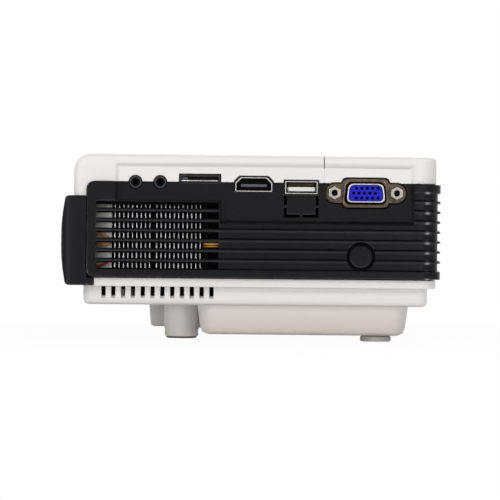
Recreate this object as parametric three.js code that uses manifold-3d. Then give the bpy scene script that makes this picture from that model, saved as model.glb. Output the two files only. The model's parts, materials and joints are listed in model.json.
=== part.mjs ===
// Mini LED projector, in millimetres with +Z up. The connector side faces -Y, the lens -X and the rear +X.
// The origin is under the middle of the housing, on the surface that the projector stands on.

import * as THREE from 'three';
import { mergeVertices } from 'three/addons/utils/BufferGeometryUtils.js';
import Module from 'manifold-3d';

const wasm = await Module();
wasm.setup();

// Fits shared by all pieces
const gap = 0.3;
const overrun = 5;
const edgeRadius = 0.4;

// Housing plan
const bodyLength = 146;
const bodyWidth = 196.4;
const bodyShift = 1.6;
const wall = 2.4;
const floorThickness = 2;
const frontCornerRadius = 3;
const rearCornerRadius = 7.2;
const cornerSteps = 6;
const bodyFront = bodyShift - bodyLength / 2;
const bodyRear = bodyShift + bodyLength / 2;
const bodyHalf = bodyWidth / 2;
const innerHalf = bodyHalf - wall;

// Heights, stacked from the table up
const trayBottomZ = 2.5;
const trayDepth = 11.9;
const lowerHeight = 7.4;
const lipHeight = 3.4;
const bandHeight = 38.1;
const coverHeight = 11.1;
const lowerBottomZ = trayBottomZ + trayDepth;
const lipBottomZ = lowerBottomZ + lowerHeight;
const lipTopZ = lipBottomZ + lipHeight;
const bandBottomZ = lipTopZ + gap;
const bandTopZ = bandBottomZ + bandHeight;
const coverBottomZ = bandTopZ + gap;
const topZ = coverBottomZ + coverHeight;
const ceilingZ = topZ - wall;

// Top cover and control deck
const topFrontRadius = 7;
const topSideRadius = 2.8;
const topRearRadius = 2.4;
const topSteps = 5;
const seamSetback = 45.5;
const seamX = bodyRear - seamSetback;
const bossRadius = 3;

// Ribbed side band
const bandFrontInset = 5.6;
const bandCornerRadius = 3.2;
const crestOutset = 1.8;
const valleyOutset = 0.7;
const bottomLipHeight = 3.7;
const topLipHeight = 3.4;
const ribPitch = 4.02;
const ribCrest = 0.8;
const ribSlope = 1.4;
const firstRib = 6.47;
const ribCount = Math.floor((bandHeight - firstRib - topLipHeight) / ribPitch);
const bandFront = bodyFront + bandFrontInset;

// Air slots through the band
const grilleFrontInset = 3.6;
const grilleLength = 49.2;
const slotHeight = 2.56;
const slotRise = 0.1;
const stripOverlap = 0.6;
const grilleFront = bandFront + grilleFrontInset;
const grilleRear = grilleFront + grilleLength;

// Recess round the connectors
const recessDepth = 1.2;
const recessDraft = 1.2;
const recessEndMargin = 6.8;
const recessRearMargin = 1.8;
const recessStepSetback = 1.4;
const recessTopDrop = 5;
const recessRearDrop = 15;
const recessFrontDrop = 7;
const recessFloorY = recessDepth - bodyHalf;
const panelInnerY = -innerHalf;

// Bottom shell
const lowerInset = 3.3;
const lowerFrontInset = 3.9;
const lowerEdgeRadius = 2;
const trayFrontInset = 49.4;
const trayRearInset = 10.1;
const traySideInset = 6.2;
const trayCornerRadius = 8;
const trayDraft = 1.6;
const trayEdgeRadius = 3;
const stepFrontInset = 28.1;
const stepOverlap = 6;
const stepFootClearance = 18;
const stepDepth = 10.4;
const stepCornerRadius = 4;
const stepEdgeRadius = 1.5;
const ventCount = 12;
const ventFrontInset = 12.2;
const ventPitch = 3.95;
const ventWidth = 1.7;
const ventHeight = 4.7;
const trayFront = bodyFront + trayFrontInset;
const trayHalf = bodyHalf - traySideInset;
const stepFront = bodyFront + stepFrontInset;
const ventFrontX = bodyFront + ventFrontInset;

// Front bezel
const bezelTopDrop = 5.5;
const bezelReach = 5;
const bezelSide = 1.4;
const bezelBow = 1.6;
const bezelCornerRadius = 2.2;
const bezelEndRadius = 4;
const bezelTail = 2.9;
const bezelFront = bodyFront - bezelReach;
const bezelBottomZ = lipBottomZ + gap;
const bezelTopZ = bandTopZ - bezelTopDrop;
const bezelHeight = bezelTopZ - bezelBottomZ;

// Projection lens
const lensSideInset = 52.2;
const lensY = bodyHalf - lensSideInset;
const lensZ = bezelBottomZ + bezelHeight / 2;
const lensFlare = 0.9;
const ringMargin = 2.7;
const ringWall = 1.7;
const ringSetback = 1;
const ringLength = 14.5;
const ringGripLength = 6;
const ringGripCount = 20;
const ringGripDepth = 0.5;
const barrelWall = 1.2;
const barrelSetback = 4.4;
const flangeWidth = 3.2;
const flangeThickness = 2.4;
const cellWall = 1.6;
const cellSetback = 2.2;
const cellLength = 14;
const cellLip = 0.9;
const glassEdge = 2;
const glassInset = 1.2;
const ringRadius = bezelHeight / 2 - ringMargin;
const flangeRadius = ringRadius + flangeWidth;
const ringBore = ringRadius - ringWall;
const barrelRadius = ringBore - gap;
const barrelBore = barrelRadius - barrelWall;
const cellRadius = barrelBore - gap;
const cellBore = cellRadius - cellWall;
const lensOpening = ringRadius + gap + gap;

// Heights of the main board, and of the audio jacks below it
const boardRise = 3.3;
const boardThickness = 1.6;
const boardChipDepth = 3.2;
const boardZ = bandTopZ + boardRise;
const boardTopZ = boardZ + boardThickness;
const jackDrop = 3.2;
const jackBodyHalf = 3.1;

// Heatsink and its bracket
const finPitch = 1.76;
const finThickness = 0.7;
const finNearGap = 5.8;
const finLength = 22;
const finBaseThickness = 4;
const finGroupGap = 1.05;
const finGroupCounts = [9, 11];
const finFloorGap = 5.6;
const finTopGap = 0.6;
const finNearY = panelInnerY + finNearGap;
const finBaseY = finNearY + finLength;
const finBackY = finBaseY + finBaseThickness;
const finBottomZ = lowerBottomZ + floorThickness + finFloorGap;
const finTopZ = boardZ - jackDrop - jackBodyHalf - finTopGap;
const bracketSheet = 1.2;
const bracketWidth = 8.4;
const bracketLift = 4;
const bracketTopDrop = 2;
const bracketBottomZ = finBottomZ + bracketLift;
const bracketTopZ = finTopZ - bracketTopDrop;

// Light engine
const engineWall = 2.5;
const engineFrontInset = 15.4;
const engineBoardGap = 1.6;
const engineSinkGap = 2.2;
const engineFarMargin = 2;
const lidThickness = 2;
const ledWindowMargin = 4.5;
const exitMargin = 1.3;
const mirrorThickness = 2;
const mirrorEndGap = 2.53;
const grooveDepth = 1.5;
const condenserSetback = 9.8;
const condenserEdge = 3;
const condenserBulge = 7;
const fresnelSetback = 37.8;
const fresnelThickness = 2;
const lcdSpacing = 10;
const lcdThickness = 3;
const lcdBorder = 4;
const postRadius = 2.5;
const engineHalf = boardZ - boardChipDepth - engineBoardGap - lensZ;
const engineFloorZ = lensZ - engineHalf;
const lidZ = lensZ + engineHalf - lidThickness;
const engineFront = bodyFront + engineFrontInset;
const engineX = engineFront + engineHalf;
const engineRear = engineX + engineHalf;
const engineNearY = finBackY + engineSinkGap;
const engineFarY = lensY + engineHalf + engineFarMargin;
const tunnelHalf = engineHalf - engineWall;
const ledWindowRadius = tunnelHalf - ledWindowMargin;
const exitRadius = ringRadius - exitMargin;
const mirrorLength = (tunnelHalf - mirrorEndGap) * 2 * Math.SQRT2;
const condenserY = engineNearY + condenserSetback;
const fresnelY = engineNearY + fresnelSetback;
const lcdY = fresnelY + lcdSpacing;

// LED module, and the heatsink's place against the engine
const finFrontSetback = 0.6;
const finFrontX = engineFront + finFrontSetback;
const bracketRight = finFrontX - finThickness - gap;
const bracketLeft = bracketRight - bracketWidth;
const ledPlateMargin = 3.5;
const ledPlateHalf = tunnelHalf - ledPlateMargin;
const ledPlateThickness = 1.6;
const ledChipHalf = 6;
const ledChipThickness = 1;
const ledDomeRadius = 5.4;

// Cooling fan
const fanHeadroom = 6.2;
const fanDepth = 12;
const fanFrontInset = 33.8;
const fanRimWall = 1.6;
const fanHubRadius = 10.5;
const fanShaftRadius = 1.7;
const fanBladeCount = 7;
const fanBladeChord = 9.5;
const fanBladeThickness = 1.1;
const fanBladeAngle = 0.7;
const fanPlate = 2.2;
const fanStrutWidth = 3;
const fanSize = ceilingZ - lowerBottomZ - floorThickness - fanHeadroom;
const fanX = bodyFront + fanFrontInset;
const fanZ = lowerBottomZ + floorThickness + gap + fanSize / 2;
const fanFarY = bodyHalf - lowerInset - wall - lowerEdgeRadius + gap;
const fanNearY = fanFarY - fanDepth;
const fanBore = fanSize / 2 - fanRimWall;

// Main board and connectors
const boardFrontInset = 15.4;
const boardRearInset = 12.6;
const boardNearInset = 0.4;
const boardDepth = 75.4;
const boardFront = bodyFront + boardFrontInset;
const boardRear = bodyRear - boardRearInset;
const boardNearY = panelInnerY + boardNearInset;
const boardFarY = boardNearY + boardDepth;
const connectorSetback = 0.1;
const connectorY = recessFloorY + connectorSetback;
const portClearance = 0.4;
const legWidth = 5;
const legDepth = 4;
const legInset = 3;

const jackRadius = 2.5;
const jackBore = 1.75;
const jackNose = 2.6;
const jackLength = 13;

const cardDrop = 1.7;
const cardWidth = 15.9;
const cardHeight = 2.8;
const cardSheet = 0.5;
const cardLength = 15;

const hdmiDrop = 3.8;
const hdmiWidth = 14.8;
const hdmiHeight = 5.8;
const hdmiChamfer = 2.1;
const hdmiSheet = 0.5;
const hdmiLength = 11;
const hdmiTongueWidth = 10.4;
const hdmiTongueHeight = 1.1;
const hdmiTongueDrop = 0.4;
const tongueSetback = 1;

const usbDrop = 4.85;
const usbWidth = 13;
const usbHeight = 5.1;
const usbSheet = 0.45;
const usbLength = 13;
const usbTongueWidth = 11.2;
const usbTongueHeight = 1.7;

const blankWidth = 14;
const blankHeight = 9.1;
const blankSlot = 1.2;
const blankTab = 1.1;

const vgaDrop = 6.9;
const vgaWidth = 16.6;
const vgaHeight = 8;
const vgaSlant = 0.9;
const vgaCorner = 2.3;
const vgaSheet = 0.5;
const vgaReach = 2.4;
const vgaRing = 1;
const vgaBracketWidth = 18.9;
const vgaBracketHeight = 11.8;
const vgaBracketCorner = 2.6;
const vgaBracketSheet = 0.8;
const vgaEarRadius = 3.9;
const vgaScrewSpacing = 24.99;
const vgaScrewHex = 2.75;
const hexSides = 6;
const vgaScrewBore = 1.2;
const vgaScrewShank = 1.3;
const vgaScrewReach = 1.8;
const vgaScrewTail = 3;
const vgaFlangeWidth = 20;
const vgaFlangeHeight = 11;
const vgaBlockDepth = 8;
const vgaPinPitch = 2.29;
const vgaPinRowPitch = 1.98;
const vgaPinHole = 0.95;
const vgaPinDepth = 3;
const vgaPinColumnCount = 5;
const vgaPinRowCount = 3;
const vgaInsertSetback = 0.8;

// Places along the side, from the front: each socket takes its own width and shares what length is left.
const socketWidths = {
  av_jack: jackBodyHalf * 2,
  headphone_jack: jackBodyHalf * 2,
  card: cardWidth,
  hdmi: hdmiWidth,
  usb: usbWidth,
  vga: vgaScrewSpacing + vgaEarRadius * 2,
};
const spareShares = {
  av_jack: 0.38,
  headphone_jack: 0.0648,
  card: 0.0867,
  hdmi: 0.1094,
  usb: 0.091,
  vga: 0.0509,
};
const spareLength = bodyLength - Object.values(socketWidths).reduce((sum, width) => sum + width);
const jackNames = ['av_jack', 'headphone_jack'];
const socketX = {};
let socketEnd = bodyFront;
for (const [name, width] of Object.entries(socketWidths)) {
  const socketStart = socketEnd + spareLength * spareShares[name];
  socketX[name] = socketStart + width / 2;
  socketEnd = socketStart + width;
}
const cardX = socketX.card;
const hdmiX = socketX.hdmi;
const usbX = socketX.usb;
const vgaX = socketX.vga;
const recessFront = socketX.av_jack - recessEndMargin;
const recessRear = socketEnd + recessRearMargin;
const recessStepX = grilleRear + recessStepSetback;

// Side power button
const buttonOffset = 1.8;
const buttonRise = 9;
const buttonX = vgaX - buttonOffset;
const buttonZ = bandBottomZ + buttonRise;
const buttonWellRadius = 5.9;
const buttonCapRadius = 4.5;
const buttonCapSetback = 0.8;
const buttonCapThickness = 1.2;
const buttonStemRadius = 2.5;
const buttonClipRadius = 3.7;
const buttonClipThickness = 1.2;
const buttonTailLength = 2;
const buttonWellFloor = 1.1;

// Power inlet in the rear of the band
const inletSideInset = 40.2;
const inletY = bodyHalf - inletSideInset;
const inletZ = bandBottomZ + bandHeight / 2;
const inletWidth = 22;
const inletHeight = 13;
const inletCorner = 3;
const inletDepth = 17;
const inletSetback = 0.9;
const inletPocketWidth = 18.4;
const inletPocketHeight = 8.8;
const inletPocketDepth = 12;
const inletPinRadius = 1.2;
const inletPinSpacing = 8.6;
const inletPinLength = 10;

// Keys on the control deck
const okRadius = 5;
const padInner = 6.1;
const padOuter = 12;
const padGapAngle = 0.22;
const roundKeyRadius = 3.8;
const keyProud = 0.6;
const keySkirt = 0.7;
const keySkirtThickness = 1.1;
const keyClearance = 0.35;
const keyBoardGap = 1;
const keyBoardThickness = 1.2;
const keyBoardFrontInset = 6.9;
const keyBoardRearInset = 6.6;
const keyBoardSideInset = 35.8;
const outerKeyInset = 10;
const innerKeyInset = 26;
const keyBoardFront = seamX + keyBoardFrontInset;
const keyBoardRear = bodyRear - keyBoardRearInset;
const keyBoardHalf = innerHalf - keyBoardSideInset;
const padX = (keyBoardFront + keyBoardRear) / 2;
const roundKeyY = {
  key_power: outerKeyInset - keyBoardHalf,
  key_source: innerKeyInset - keyBoardHalf,
  key_menu: keyBoardHalf - innerKeyInset,
  key_back: keyBoardHalf - outerKeyInset,
};
const arrowQuarters = { key_down: 0, key_right: 1, key_up: 2, key_left: 3 };
const keySkirtTopZ = ceilingZ - keyClearance;
const keyBottomZ = keySkirtTopZ - keySkirtThickness;
const keyBoardTopZ = keyBottomZ - keyBoardGap;

// Feet and case screws
const footFrontInset = 42.8;
const footSideInset = 29;
const footX = bodyFront + footFrontInset;
const footY = trayHalf - footSideInset;
const stepHalf = footY - stepFootClearance;
const footBossRadius = 7.2;
const footKnobRadius = 7;
const footKnobHeight = 3.6;
const footPadHeight = 0.9;
const footPadInset = 0.7;
const footGripCount = 12;
const footGripDepth = 0.35;
const footStudRadius = 3;
const footStudRise = 1.8;
const rearFootEndInset = 23.4;
const rearFootSideInset = 12.2;
const rearFootRadius = 6.25;
const rearFootX = bodyRear - rearFootEndInset;
const rearFootY = trayHalf - rearFootSideInset;
const screwSeatWall = 1.1;
const screwFrontInset = 19.4;
const screwRearInset = 44.6;
const screwFanGap = 4.4;
const screwTrayInset = 8;
const screwPlaces = [
  [bodyFront + screwFrontInset, fanNearY - screwFanGap, 'front', lowerBottomZ],
  [bodyRear - screwRearInset, trayHalf - screwTrayInset, 'rear', trayBottomZ],
];
const screwHeadRadius = 2.8;
const screwHeadHeight = 1.4;
const screwShankRadius = 1.3;
const screwShankLength = 6;
const screwSlot = 0.8;
const screwSlotDepth = 0.6;
const screwSlotShare = 0.6;

// Infrared window, loudspeaker and power supply
const irSideInset = 38.2;
const irWidth = 14;
const irHeight = 8;
const irThickness = 3.6;
const irSetback = 0.5;
const irY = irSideInset - bodyHalf;
const speakerRearInset = 32.6;
const speakerRadius = 16;
const speakerRim = 1.6;
const speakerDepth = 12;
const speakerMagnetRadius = 9;
const speakerSlotRibs = [1, 2, 3, 4, 5].filter((rib) => rib < ribCount);
const speakerX = bodyRear - speakerRearInset;
const speakerZ = bandBottomZ + bandHeight / 2;
const supplyEngineGap = 18;
const supplyRearInset = 17.6;
const supplyNearInset = 58.2;
const supplyFarInset = 48.2;
const supplyFront = engineRear + supplyEngineGap;
const supplyRear = bodyRear - supplyRearInset;
const supplyNearY = supplyNearInset - bodyHalf;
const supplyFarY = bodyHalf - supplyFarInset;
const supplyRise = 3.2;
const supplyThickness = 1.6;
const transformerSize = 24;
const capacitorRadius = 8;
const capacitorHeight = 22;
const capacitorInset = 5;

// Leads
const leadRadius = 0.75;
const leadSides = 6;
const leadSteps = 28;

const roundSides = 24;
const fineSides = 28;
const smallSides = 12;
const arcSteps = 4;
const trayEdgeSteps = 2;
const keySteps = 8;
const quarterTurn = Math.PI / 2;
const fullTurn = Math.PI * 2;

const unitX = new THREE.Vector3(1, 0, 0);
const unitY = new THREE.Vector3(0, 1, 0);
const unitZ = new THREE.Vector3(0, 0, 1);

const projector = new THREE.Group();

// Turns a closed mesh inside out if its faces point inward.
function faceOutward(geometry) {
  const position = geometry.attributes.position;
  const index = geometry.index.array;
  const a = new THREE.Vector3();
  const b = new THREE.Vector3();
  const c = new THREE.Vector3();
  let volume = 0;
  for (let i = 0; i < index.length; i += 3) {
    a.fromBufferAttribute(position, index[i]);
    b.fromBufferAttribute(position, index[i + 1]);
    c.fromBufferAttribute(position, index[i + 2]);
    volume += a.dot(b.cross(c));
  }
  if (volume < 0) {
    for (let i = 0; i < index.length; i += 3) {
      [index[i], index[i + 1]] = [index[i + 1], index[i]];
    }
  }
}

// A closed mesh as a solid that can be joined and cut.
function toSolid(geometry) {
  geometry.deleteAttribute('normal');
  geometry.deleteAttribute('uv');
  const merged = mergeVertices(geometry);
  faceOutward(merged);
  return new wasm.Manifold(new wasm.Mesh({
    numProp: 3,
    vertProperties: new Float32Array(merged.attributes.position.array),
    triVerts: new Uint32Array(merged.index.array),
  }));
}

// Adds a finished solid to the projector as a named mesh with its own material.
function addPiece(name, solid, color, roughness, metalness) {
  const mesh = solid.getMesh();
  const geometry = new THREE.BufferGeometry();
  geometry.setAttribute('position', new THREE.BufferAttribute(mesh.vertProperties, mesh.numProp));
  geometry.setIndex(new THREE.BufferAttribute(mesh.triVerts, 1));
  geometry.computeVertexNormals();
  const piece = new THREE.Mesh(geometry, new THREE.MeshStandardMaterial({ color, roughness, metalness }));
  piece.name = name;
  projector.add(piece);
}

function joined(solids) {
  return solids.reduce((sum, solid) => sum.add(solid));
}

// A rectangular block between pairs of limits.
function block([x0, x1], [y0, y1], [z0, z1]) {
  const geometry = new THREE.BoxGeometry(x1 - x0, y1 - y0, z1 - z0);
  geometry.translate((x0 + x1) / 2, (y0 + y1) / 2, (z0 + z1) / 2);
  return toSolid(geometry);
}

// A flat outline pulled along an axis. The outline is in (y, z) for x, (x, z) for y and (x, y) for z.
function prism(axis, shape, low, high, curveSegments = arcSteps) {
  const options = { depth: high - low, bevelEnabled: false, curveSegments };
  const geometry = new THREE.ExtrudeGeometry(shape, options);
  if (axis === 'x') {
    geometry.applyMatrix4(new THREE.Matrix4().makeBasis(unitY, unitZ, unitX));
    geometry.translate(low, 0, 0);
  } else if (axis === 'y') {
    geometry.applyMatrix4(new THREE.Matrix4().makeBasis(unitX, unitZ, unitY.clone().negate()));
    geometry.translate(0, high, 0);
  } else {
    geometry.translate(0, 0, low);
  }
  return toSolid(geometry);
}

// Lays a shape made about the Y axis along another axis, through the given centre.
function lay(geometry, axis, [a, b]) {
  if (axis === 'x') {
    geometry.rotateZ(-quarterTurn);
    geometry.translate(0, a, b);
  } else if (axis === 'y') {
    geometry.translate(a, 0, b);
  } else {
    geometry.rotateX(quarterTurn);
    geometry.translate(a, b, 0);
  }
  return toSolid(geometry);
}

// A round bar or a cone along an axis, from low to high.
function rod(axis, centre, radius, low, high, sides = roundSides, endRadius = radius) {
  const geometry = new THREE.CylinderGeometry(endRadius, radius, high - low, sides);
  geometry.translate(0, (low + high) / 2, 0);
  return lay(geometry, axis, centre);
}

// A turned piece: its profile is a list of [radius, place along the axis] that starts and ends on the axis.
function turned(axis, centre, profile, sides = fineSides) {
  const points = profile.map(([radius, place]) => new THREE.Vector2(radius, place));
  return lay(new THREE.LatheGeometry(points, sides), axis, centre);
}

function polygon(points) {
  return new THREE.Shape(points.map(([a, b]) => new THREE.Vector2(a, b)));
}

function rectangle(centreA, centreB, width, height) {
  const halfA = width / 2;
  const halfB = height / 2;
  return polygon([
    [centreA - halfA, centreB - halfB],
    [centreA + halfA, centreB - halfB],
    [centreA + halfA, centreB + halfB],
    [centreA - halfA, centreB + halfB],
  ]);
}

// A polygon with every corner rounded by a short curve that starts and ends one radius from the corner.
function rounded(points, radius) {
  const shape = new THREE.Shape();
  points.forEach(([a, b], i) => {
    const corner = new THREE.Vector2(a, b);
    const [before, after] = [points.at(i - 1), points[(i + 1) % points.length]].map(
      (point) => new THREE.Vector2(...point).sub(corner).setLength(radius).add(corner),
    );
    if (i === 0) {
      shape.moveTo(before.x, before.y);
    } else {
      shape.lineTo(before.x, before.y);
    }
    shape.quadraticCurveTo(corner.x, corner.y, after.x, after.y);
  });
  shape.closePath();
  return shape;
}

function roundedRectangle(centreA, centreB, width, height, radius) {
  const halfA = width / 2;
  const halfB = height / 2;
  return rounded([
    [centreA - halfA, centreB - halfB],
    [centreA + halfA, centreB - halfB],
    [centreA + halfA, centreB + halfB],
    [centreA - halfA, centreB + halfB],
  ], radius);
}

// The corners of a gear-like outline: straight-sided grips between shallow grooves.
function grippedOutline(centreA, centreB, radius, depth, count) {
  const points = [];
  const pattern = [[0, radius], [1, radius], [2, radius - depth], [3, radius - depth]];
  const steps = pattern.length;
  for (let grip = 0; grip < count; grip += 1) {
    for (const [step, reach] of pattern) {
      const angle = ((grip + step / steps) / count) * fullTurn;
      points.push([centreA + reach * Math.cos(angle), centreB + reach * Math.sin(angle)]);
    }
  }
  return polygon(points);
}

// One level of a rounded rectangular plan, drawn in by the given insets.
function planRing(plan, inset, z) {
  const front = plan.front + inset.front;
  const rear = plan.rear - inset.rear;
  const half = plan.half - inset.side;
  const frontRadius = Math.max(plan.frontRadius - inset.side, edgeRadius);
  const rearRadius = Math.max(plan.rearRadius - inset.side, edgeRadius);
  const corners = [
    [rear - rearRadius, half - rearRadius, rearRadius],
    [front + frontRadius, half - frontRadius, frontRadius],
    [front + frontRadius, frontRadius - half, frontRadius],
    [rear - rearRadius, rearRadius - half, rearRadius],
  ];
  const points = [];
  corners.forEach(([x, y, radius], quarter) => {
    for (let step = 0; step <= cornerSteps; step += 1) {
      const angle = (quarter + step / cornerSteps) * quarterTurn;
      points.push(new THREE.Vector3(x + radius * Math.cos(angle), y + radius * Math.sin(angle), z));
    }
  });
  return points;
}

// A closed solid through a stack of level rings that have equal numbers of points.
function loft(rings) {
  const count = rings[0].length;
  const vertices = rings.flat().flatMap((point) => [point.x, point.y, point.z]);
  const triangles = [];
  for (let level = 0; level < rings.length - 1; level += 1) {
    for (let i = 0; i < count; i += 1) {
      const a = level * count + i;
      const b = level * count + ((i + 1) % count);
      triangles.push(a, b, b + count, a, b + count, a + count);
    }
  }
  const last = (rings.length - 1) * count;
  const outline = rings[0].map((point) => new THREE.Vector2(point.x, point.y));
  const cap = THREE.ShapeUtils.triangulateShape(outline, []);
  for (const [a, b, c] of cap) {
    triangles.push(a, c, b, last + a, last + b, last + c);
  }
  const geometry = new THREE.BufferGeometry();
  geometry.setAttribute('position', new THREE.Float32BufferAttribute(vertices, 3));
  geometry.setIndex(triangles);
  return toSolid(geometry);
}

function evenInset(inset) {
  return { front: inset, side: inset, rear: inset };
}

// How far a rounded top edge has drawn in at a height.
function roundInset(z, top, radius) {
  const rise = Math.max(z - (top - radius), 0);
  return radius - Math.sqrt(Math.max(radius * radius - rise * rise, 0));
}

const bodyPlan = {
  front: bodyFront,
  rear: bodyRear,
  half: bodyHalf,
  frontRadius: frontCornerRadius,
  rearRadius: rearCornerRadius,
};

// The white housing's form above a height, drawn in all round by an offset.
function housingForm(offset, bottomZ) {
  const top = topZ - offset;
  const outerRadii = [topFrontRadius, topSideRadius, topRearRadius];
  const radii = outerRadii.map((radius) => Math.max(radius - offset, edgeRadius));
  const rings = [planRing(bodyPlan, evenInset(offset), bottomZ)];
  for (let step = 0; step <= topSteps; step += 1) {
    const z = top - radii[0] * (1 - Math.sin((step / topSteps) * quarterTurn));
    const [front, side, rear] = radii.map((radius) => offset + roundInset(z, top, radius));
    rings.push(planRing(bodyPlan, { front, side, rear }, z));
  }
  return loft(rings);
}

// A straight-sided form of a plan, with its lower edge rounded and its sides drawn in toward the bottom.
function trayForm(plan, offset, bottomZ, high, radius, draft) {
  const rings = [];
  const steps = offset > 0 ? 1 : trayEdgeSteps;
  for (let step = 0; step <= steps; step += 1) {
    const angle = (step / steps) * quarterTurn;
    const z = bottomZ + radius * (1 - Math.cos(angle));
    rings.push(planRing(plan, evenInset(offset + draft + radius * (1 - Math.sin(angle))), z));
  }
  rings.push(planRing(plan, evenInset(offset), high));
  return loft(rings);
}

// Height of a rib's sharp lower edge, counted from the lowest rib.
function ribZ(rib) {
  return bandBottomZ + firstRib + rib * ribPitch;
}

// Middle height of the air slot below a rib.
function slotZ(rib) {
  return ribZ(rib) + (ribCrest - ribPitch) / 2 + slotRise;
}

// The band's outer form: level lips at top and bottom and clapboard ribs between them.
function bandForm() {
  const lipEdgeZ = bandBottomZ + bottomLipHeight;
  const levels = [
    [crestOutset, bandBottomZ],
    [crestOutset, lipEdgeZ + ribCrest - ribSlope],
    [valleyOutset, lipEdgeZ],
  ];
  for (let rib = 0; rib < ribCount; rib += 1) {
    const z = ribZ(rib);
    levels.push([valleyOutset, z], [crestOutset, z]);
    levels.push([crestOutset, z + ribCrest], [valleyOutset, z + ribSlope]);
  }
  const topLipZ = bandTopZ - topLipHeight;
  levels.push([valleyOutset, topLipZ], [crestOutset, topLipZ], [crestOutset, bandTopZ]);
  return loft(levels.map(([outset, z]) => planRing(bodyPlan, evenInset(-outset), z)));
}

// The smooth frame ahead of the air slots, level with the crests, and the panel above the near slots.
function smoothFrame() {
  const level = loft([bandBottomZ, bandTopZ].map((z) => planRing(bodyPlan, evenInset(-crestOutset), z)));
  const strip = block(
    [bodyFront - overrun, grilleFront + stripOverlap],
    [-bodyHalf - overrun, bodyHalf + overrun],
    [bandBottomZ, bandTopZ],
  );
  const panel = block([bodyFront, recessFront], [-bodyHalf - overrun, 0], [ribZ(ribCount - 1), bandTopZ]);
  return level.intersect(strip.add(panel));
}

// The drafted recess in the connector side, as a solid to cut away.
function recessCut() {
  const lowZ = bandTopZ - recessRearDrop;
  const midZ = bandTopZ - recessFrontDrop;
  const highZ = topZ - recessTopDrop;
  const outline = polygon([
    [recessFront, midZ],
    [recessStepX, midZ],
    [recessStepX, lowZ],
    [recessRear, lowZ],
    [recessRear, highZ],
    [recessFront, highZ],
  ]);
  const geometry = new THREE.ExtrudeGeometry(outline, {
    depth: overrun,
    bevelEnabled: true,
    bevelThickness: recessDraft,
    bevelSize: recessDraft,
    bevelSegments: 1,
  });
  geometry.applyMatrix4(new THREE.Matrix4().makeBasis(unitX, unitZ, unitY.clone().negate()));
  geometry.translate(0, recessFloorY - recessDraft, 0);
  return toSolid(geometry);
}

// The HDMI outline, wide side down, grown all round.
function hdmiOutline(grow) {
  const half = hdmiWidth / 2 + grow;
  const low = boardZ - hdmiDrop - hdmiHeight / 2 - grow;
  const high = boardZ - hdmiDrop + hdmiHeight / 2 + grow;
  return polygon([
    [hdmiX - half, low],
    [hdmiX + half, low],
    [hdmiX + half, high - hdmiChamfer],
    [hdmiX + half - hdmiChamfer, high],
    [hdmiX - half + hdmiChamfer, high],
    [hdmiX - half, high - hdmiChamfer],
  ]);
}

// The D-shaped outline of the video socket, wide side down, grown all round.
function vgaOutline(grow) {
  const half = vgaWidth / 2 + grow;
  const z = boardZ - vgaDrop;
  const halfHeight = vgaHeight / 2 + grow;
  return rounded([
    [vgaX - half, z - halfHeight],
    [vgaX + half, z - halfHeight],
    [vgaX + half - vgaSlant, z + halfHeight],
    [vgaX - half + vgaSlant, z + halfHeight],
  ], vgaCorner);
}

// The video socket's bracket with an ear for each screw, grown all round.
function vgaBracketForm(grow, nearY, farY) {
  const z = boardZ - vgaDrop;
  const width = vgaBracketWidth + grow + grow;
  const height = vgaBracketHeight + grow + grow;
  const middle = prism('y', roundedRectangle(vgaX, z, width, height, vgaBracketCorner), nearY, farY);
  const ears = block(
    [vgaX - vgaScrewSpacing / 2, vgaX + vgaScrewSpacing / 2],
    [nearY, farY],
    [z - vgaEarRadius - grow, z + vgaEarRadius + grow],
  );
  const ends = [-1, 1].map((side) => rod(
    'y', [vgaX + side * vgaScrewSpacing / 2, z], vgaEarRadius + grow, nearY, farY,
  ));
  return joined([middle, ears, ...ends]);
}

// Everything that the connectors need cut through the side panel.
function portCuts() {
  const nearY = -bodyHalf - overrun;
  const farY = panelInnerY + overrun;
  const cuts = jackNames.map((name) => rod(
    'y', [socketX[name], boardZ - jackDrop], jackRadius + gap, nearY, farY, fineSides,
  ));
  cuts.push(prism('y', rectangle(
    cardX, boardZ - cardDrop, cardWidth + portClearance * 2, cardHeight + portClearance * 2,
  ), nearY, farY));
  cuts.push(prism('y', hdmiOutline(portClearance), nearY, farY));
  cuts.push(prism('y', rectangle(
    usbX, boardZ - usbDrop, usbWidth + portClearance * 2, usbHeight + portClearance * 2,
  ), nearY, farY));
  cuts.push(vgaBracketForm(portClearance, nearY, farY));
  return joined(cuts);
}

// The knock-out below the USB socket: narrow slots down from its opening, left whole at three tabs.
function blankCuts() {
  const nearY = -bodyHalf - overrun;
  const farY = panelInnerY + overrun;
  const half = blankWidth / 2;
  const highZ = boardZ - usbDrop - usbHeight / 2 - portClearance;
  const lowZ = highZ - blankHeight;
  const midZ = (lowZ + highZ) / 2;
  const cuts = [];
  for (const side of [-1, 1]) {
    const edges = [usbX + side * half, usbX + side * (half - blankSlot)].sort((a, b) => a - b);
    cuts.push(block(edges, [nearY, farY], [lowZ, midZ - blankTab / 2]));
    cuts.push(block(edges, [nearY, farY], [midZ + blankTab / 2, highZ + gap]));
    const run = [usbX + side * half, usbX + side * blankTab / 2].sort((a, b) => a - b);
    cuts.push(block(run, [nearY, farY], [lowZ, lowZ + blankSlot]));
  }
  return joined(cuts);
}

// Air slots through one side of the band, at the heights of the given ribs.
function slotCuts(side, front, rear, ribs) {
  const edges = [side * (innerHalf - overrun), side * (bodyHalf + overrun)].sort((a, b) => a - b);
  return joined(ribs.map((rib) => block(
    [front, rear], edges, [slotZ(rib) - slotHeight / 2, slotZ(rib) + slotHeight / 2],
  )));
}

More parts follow.
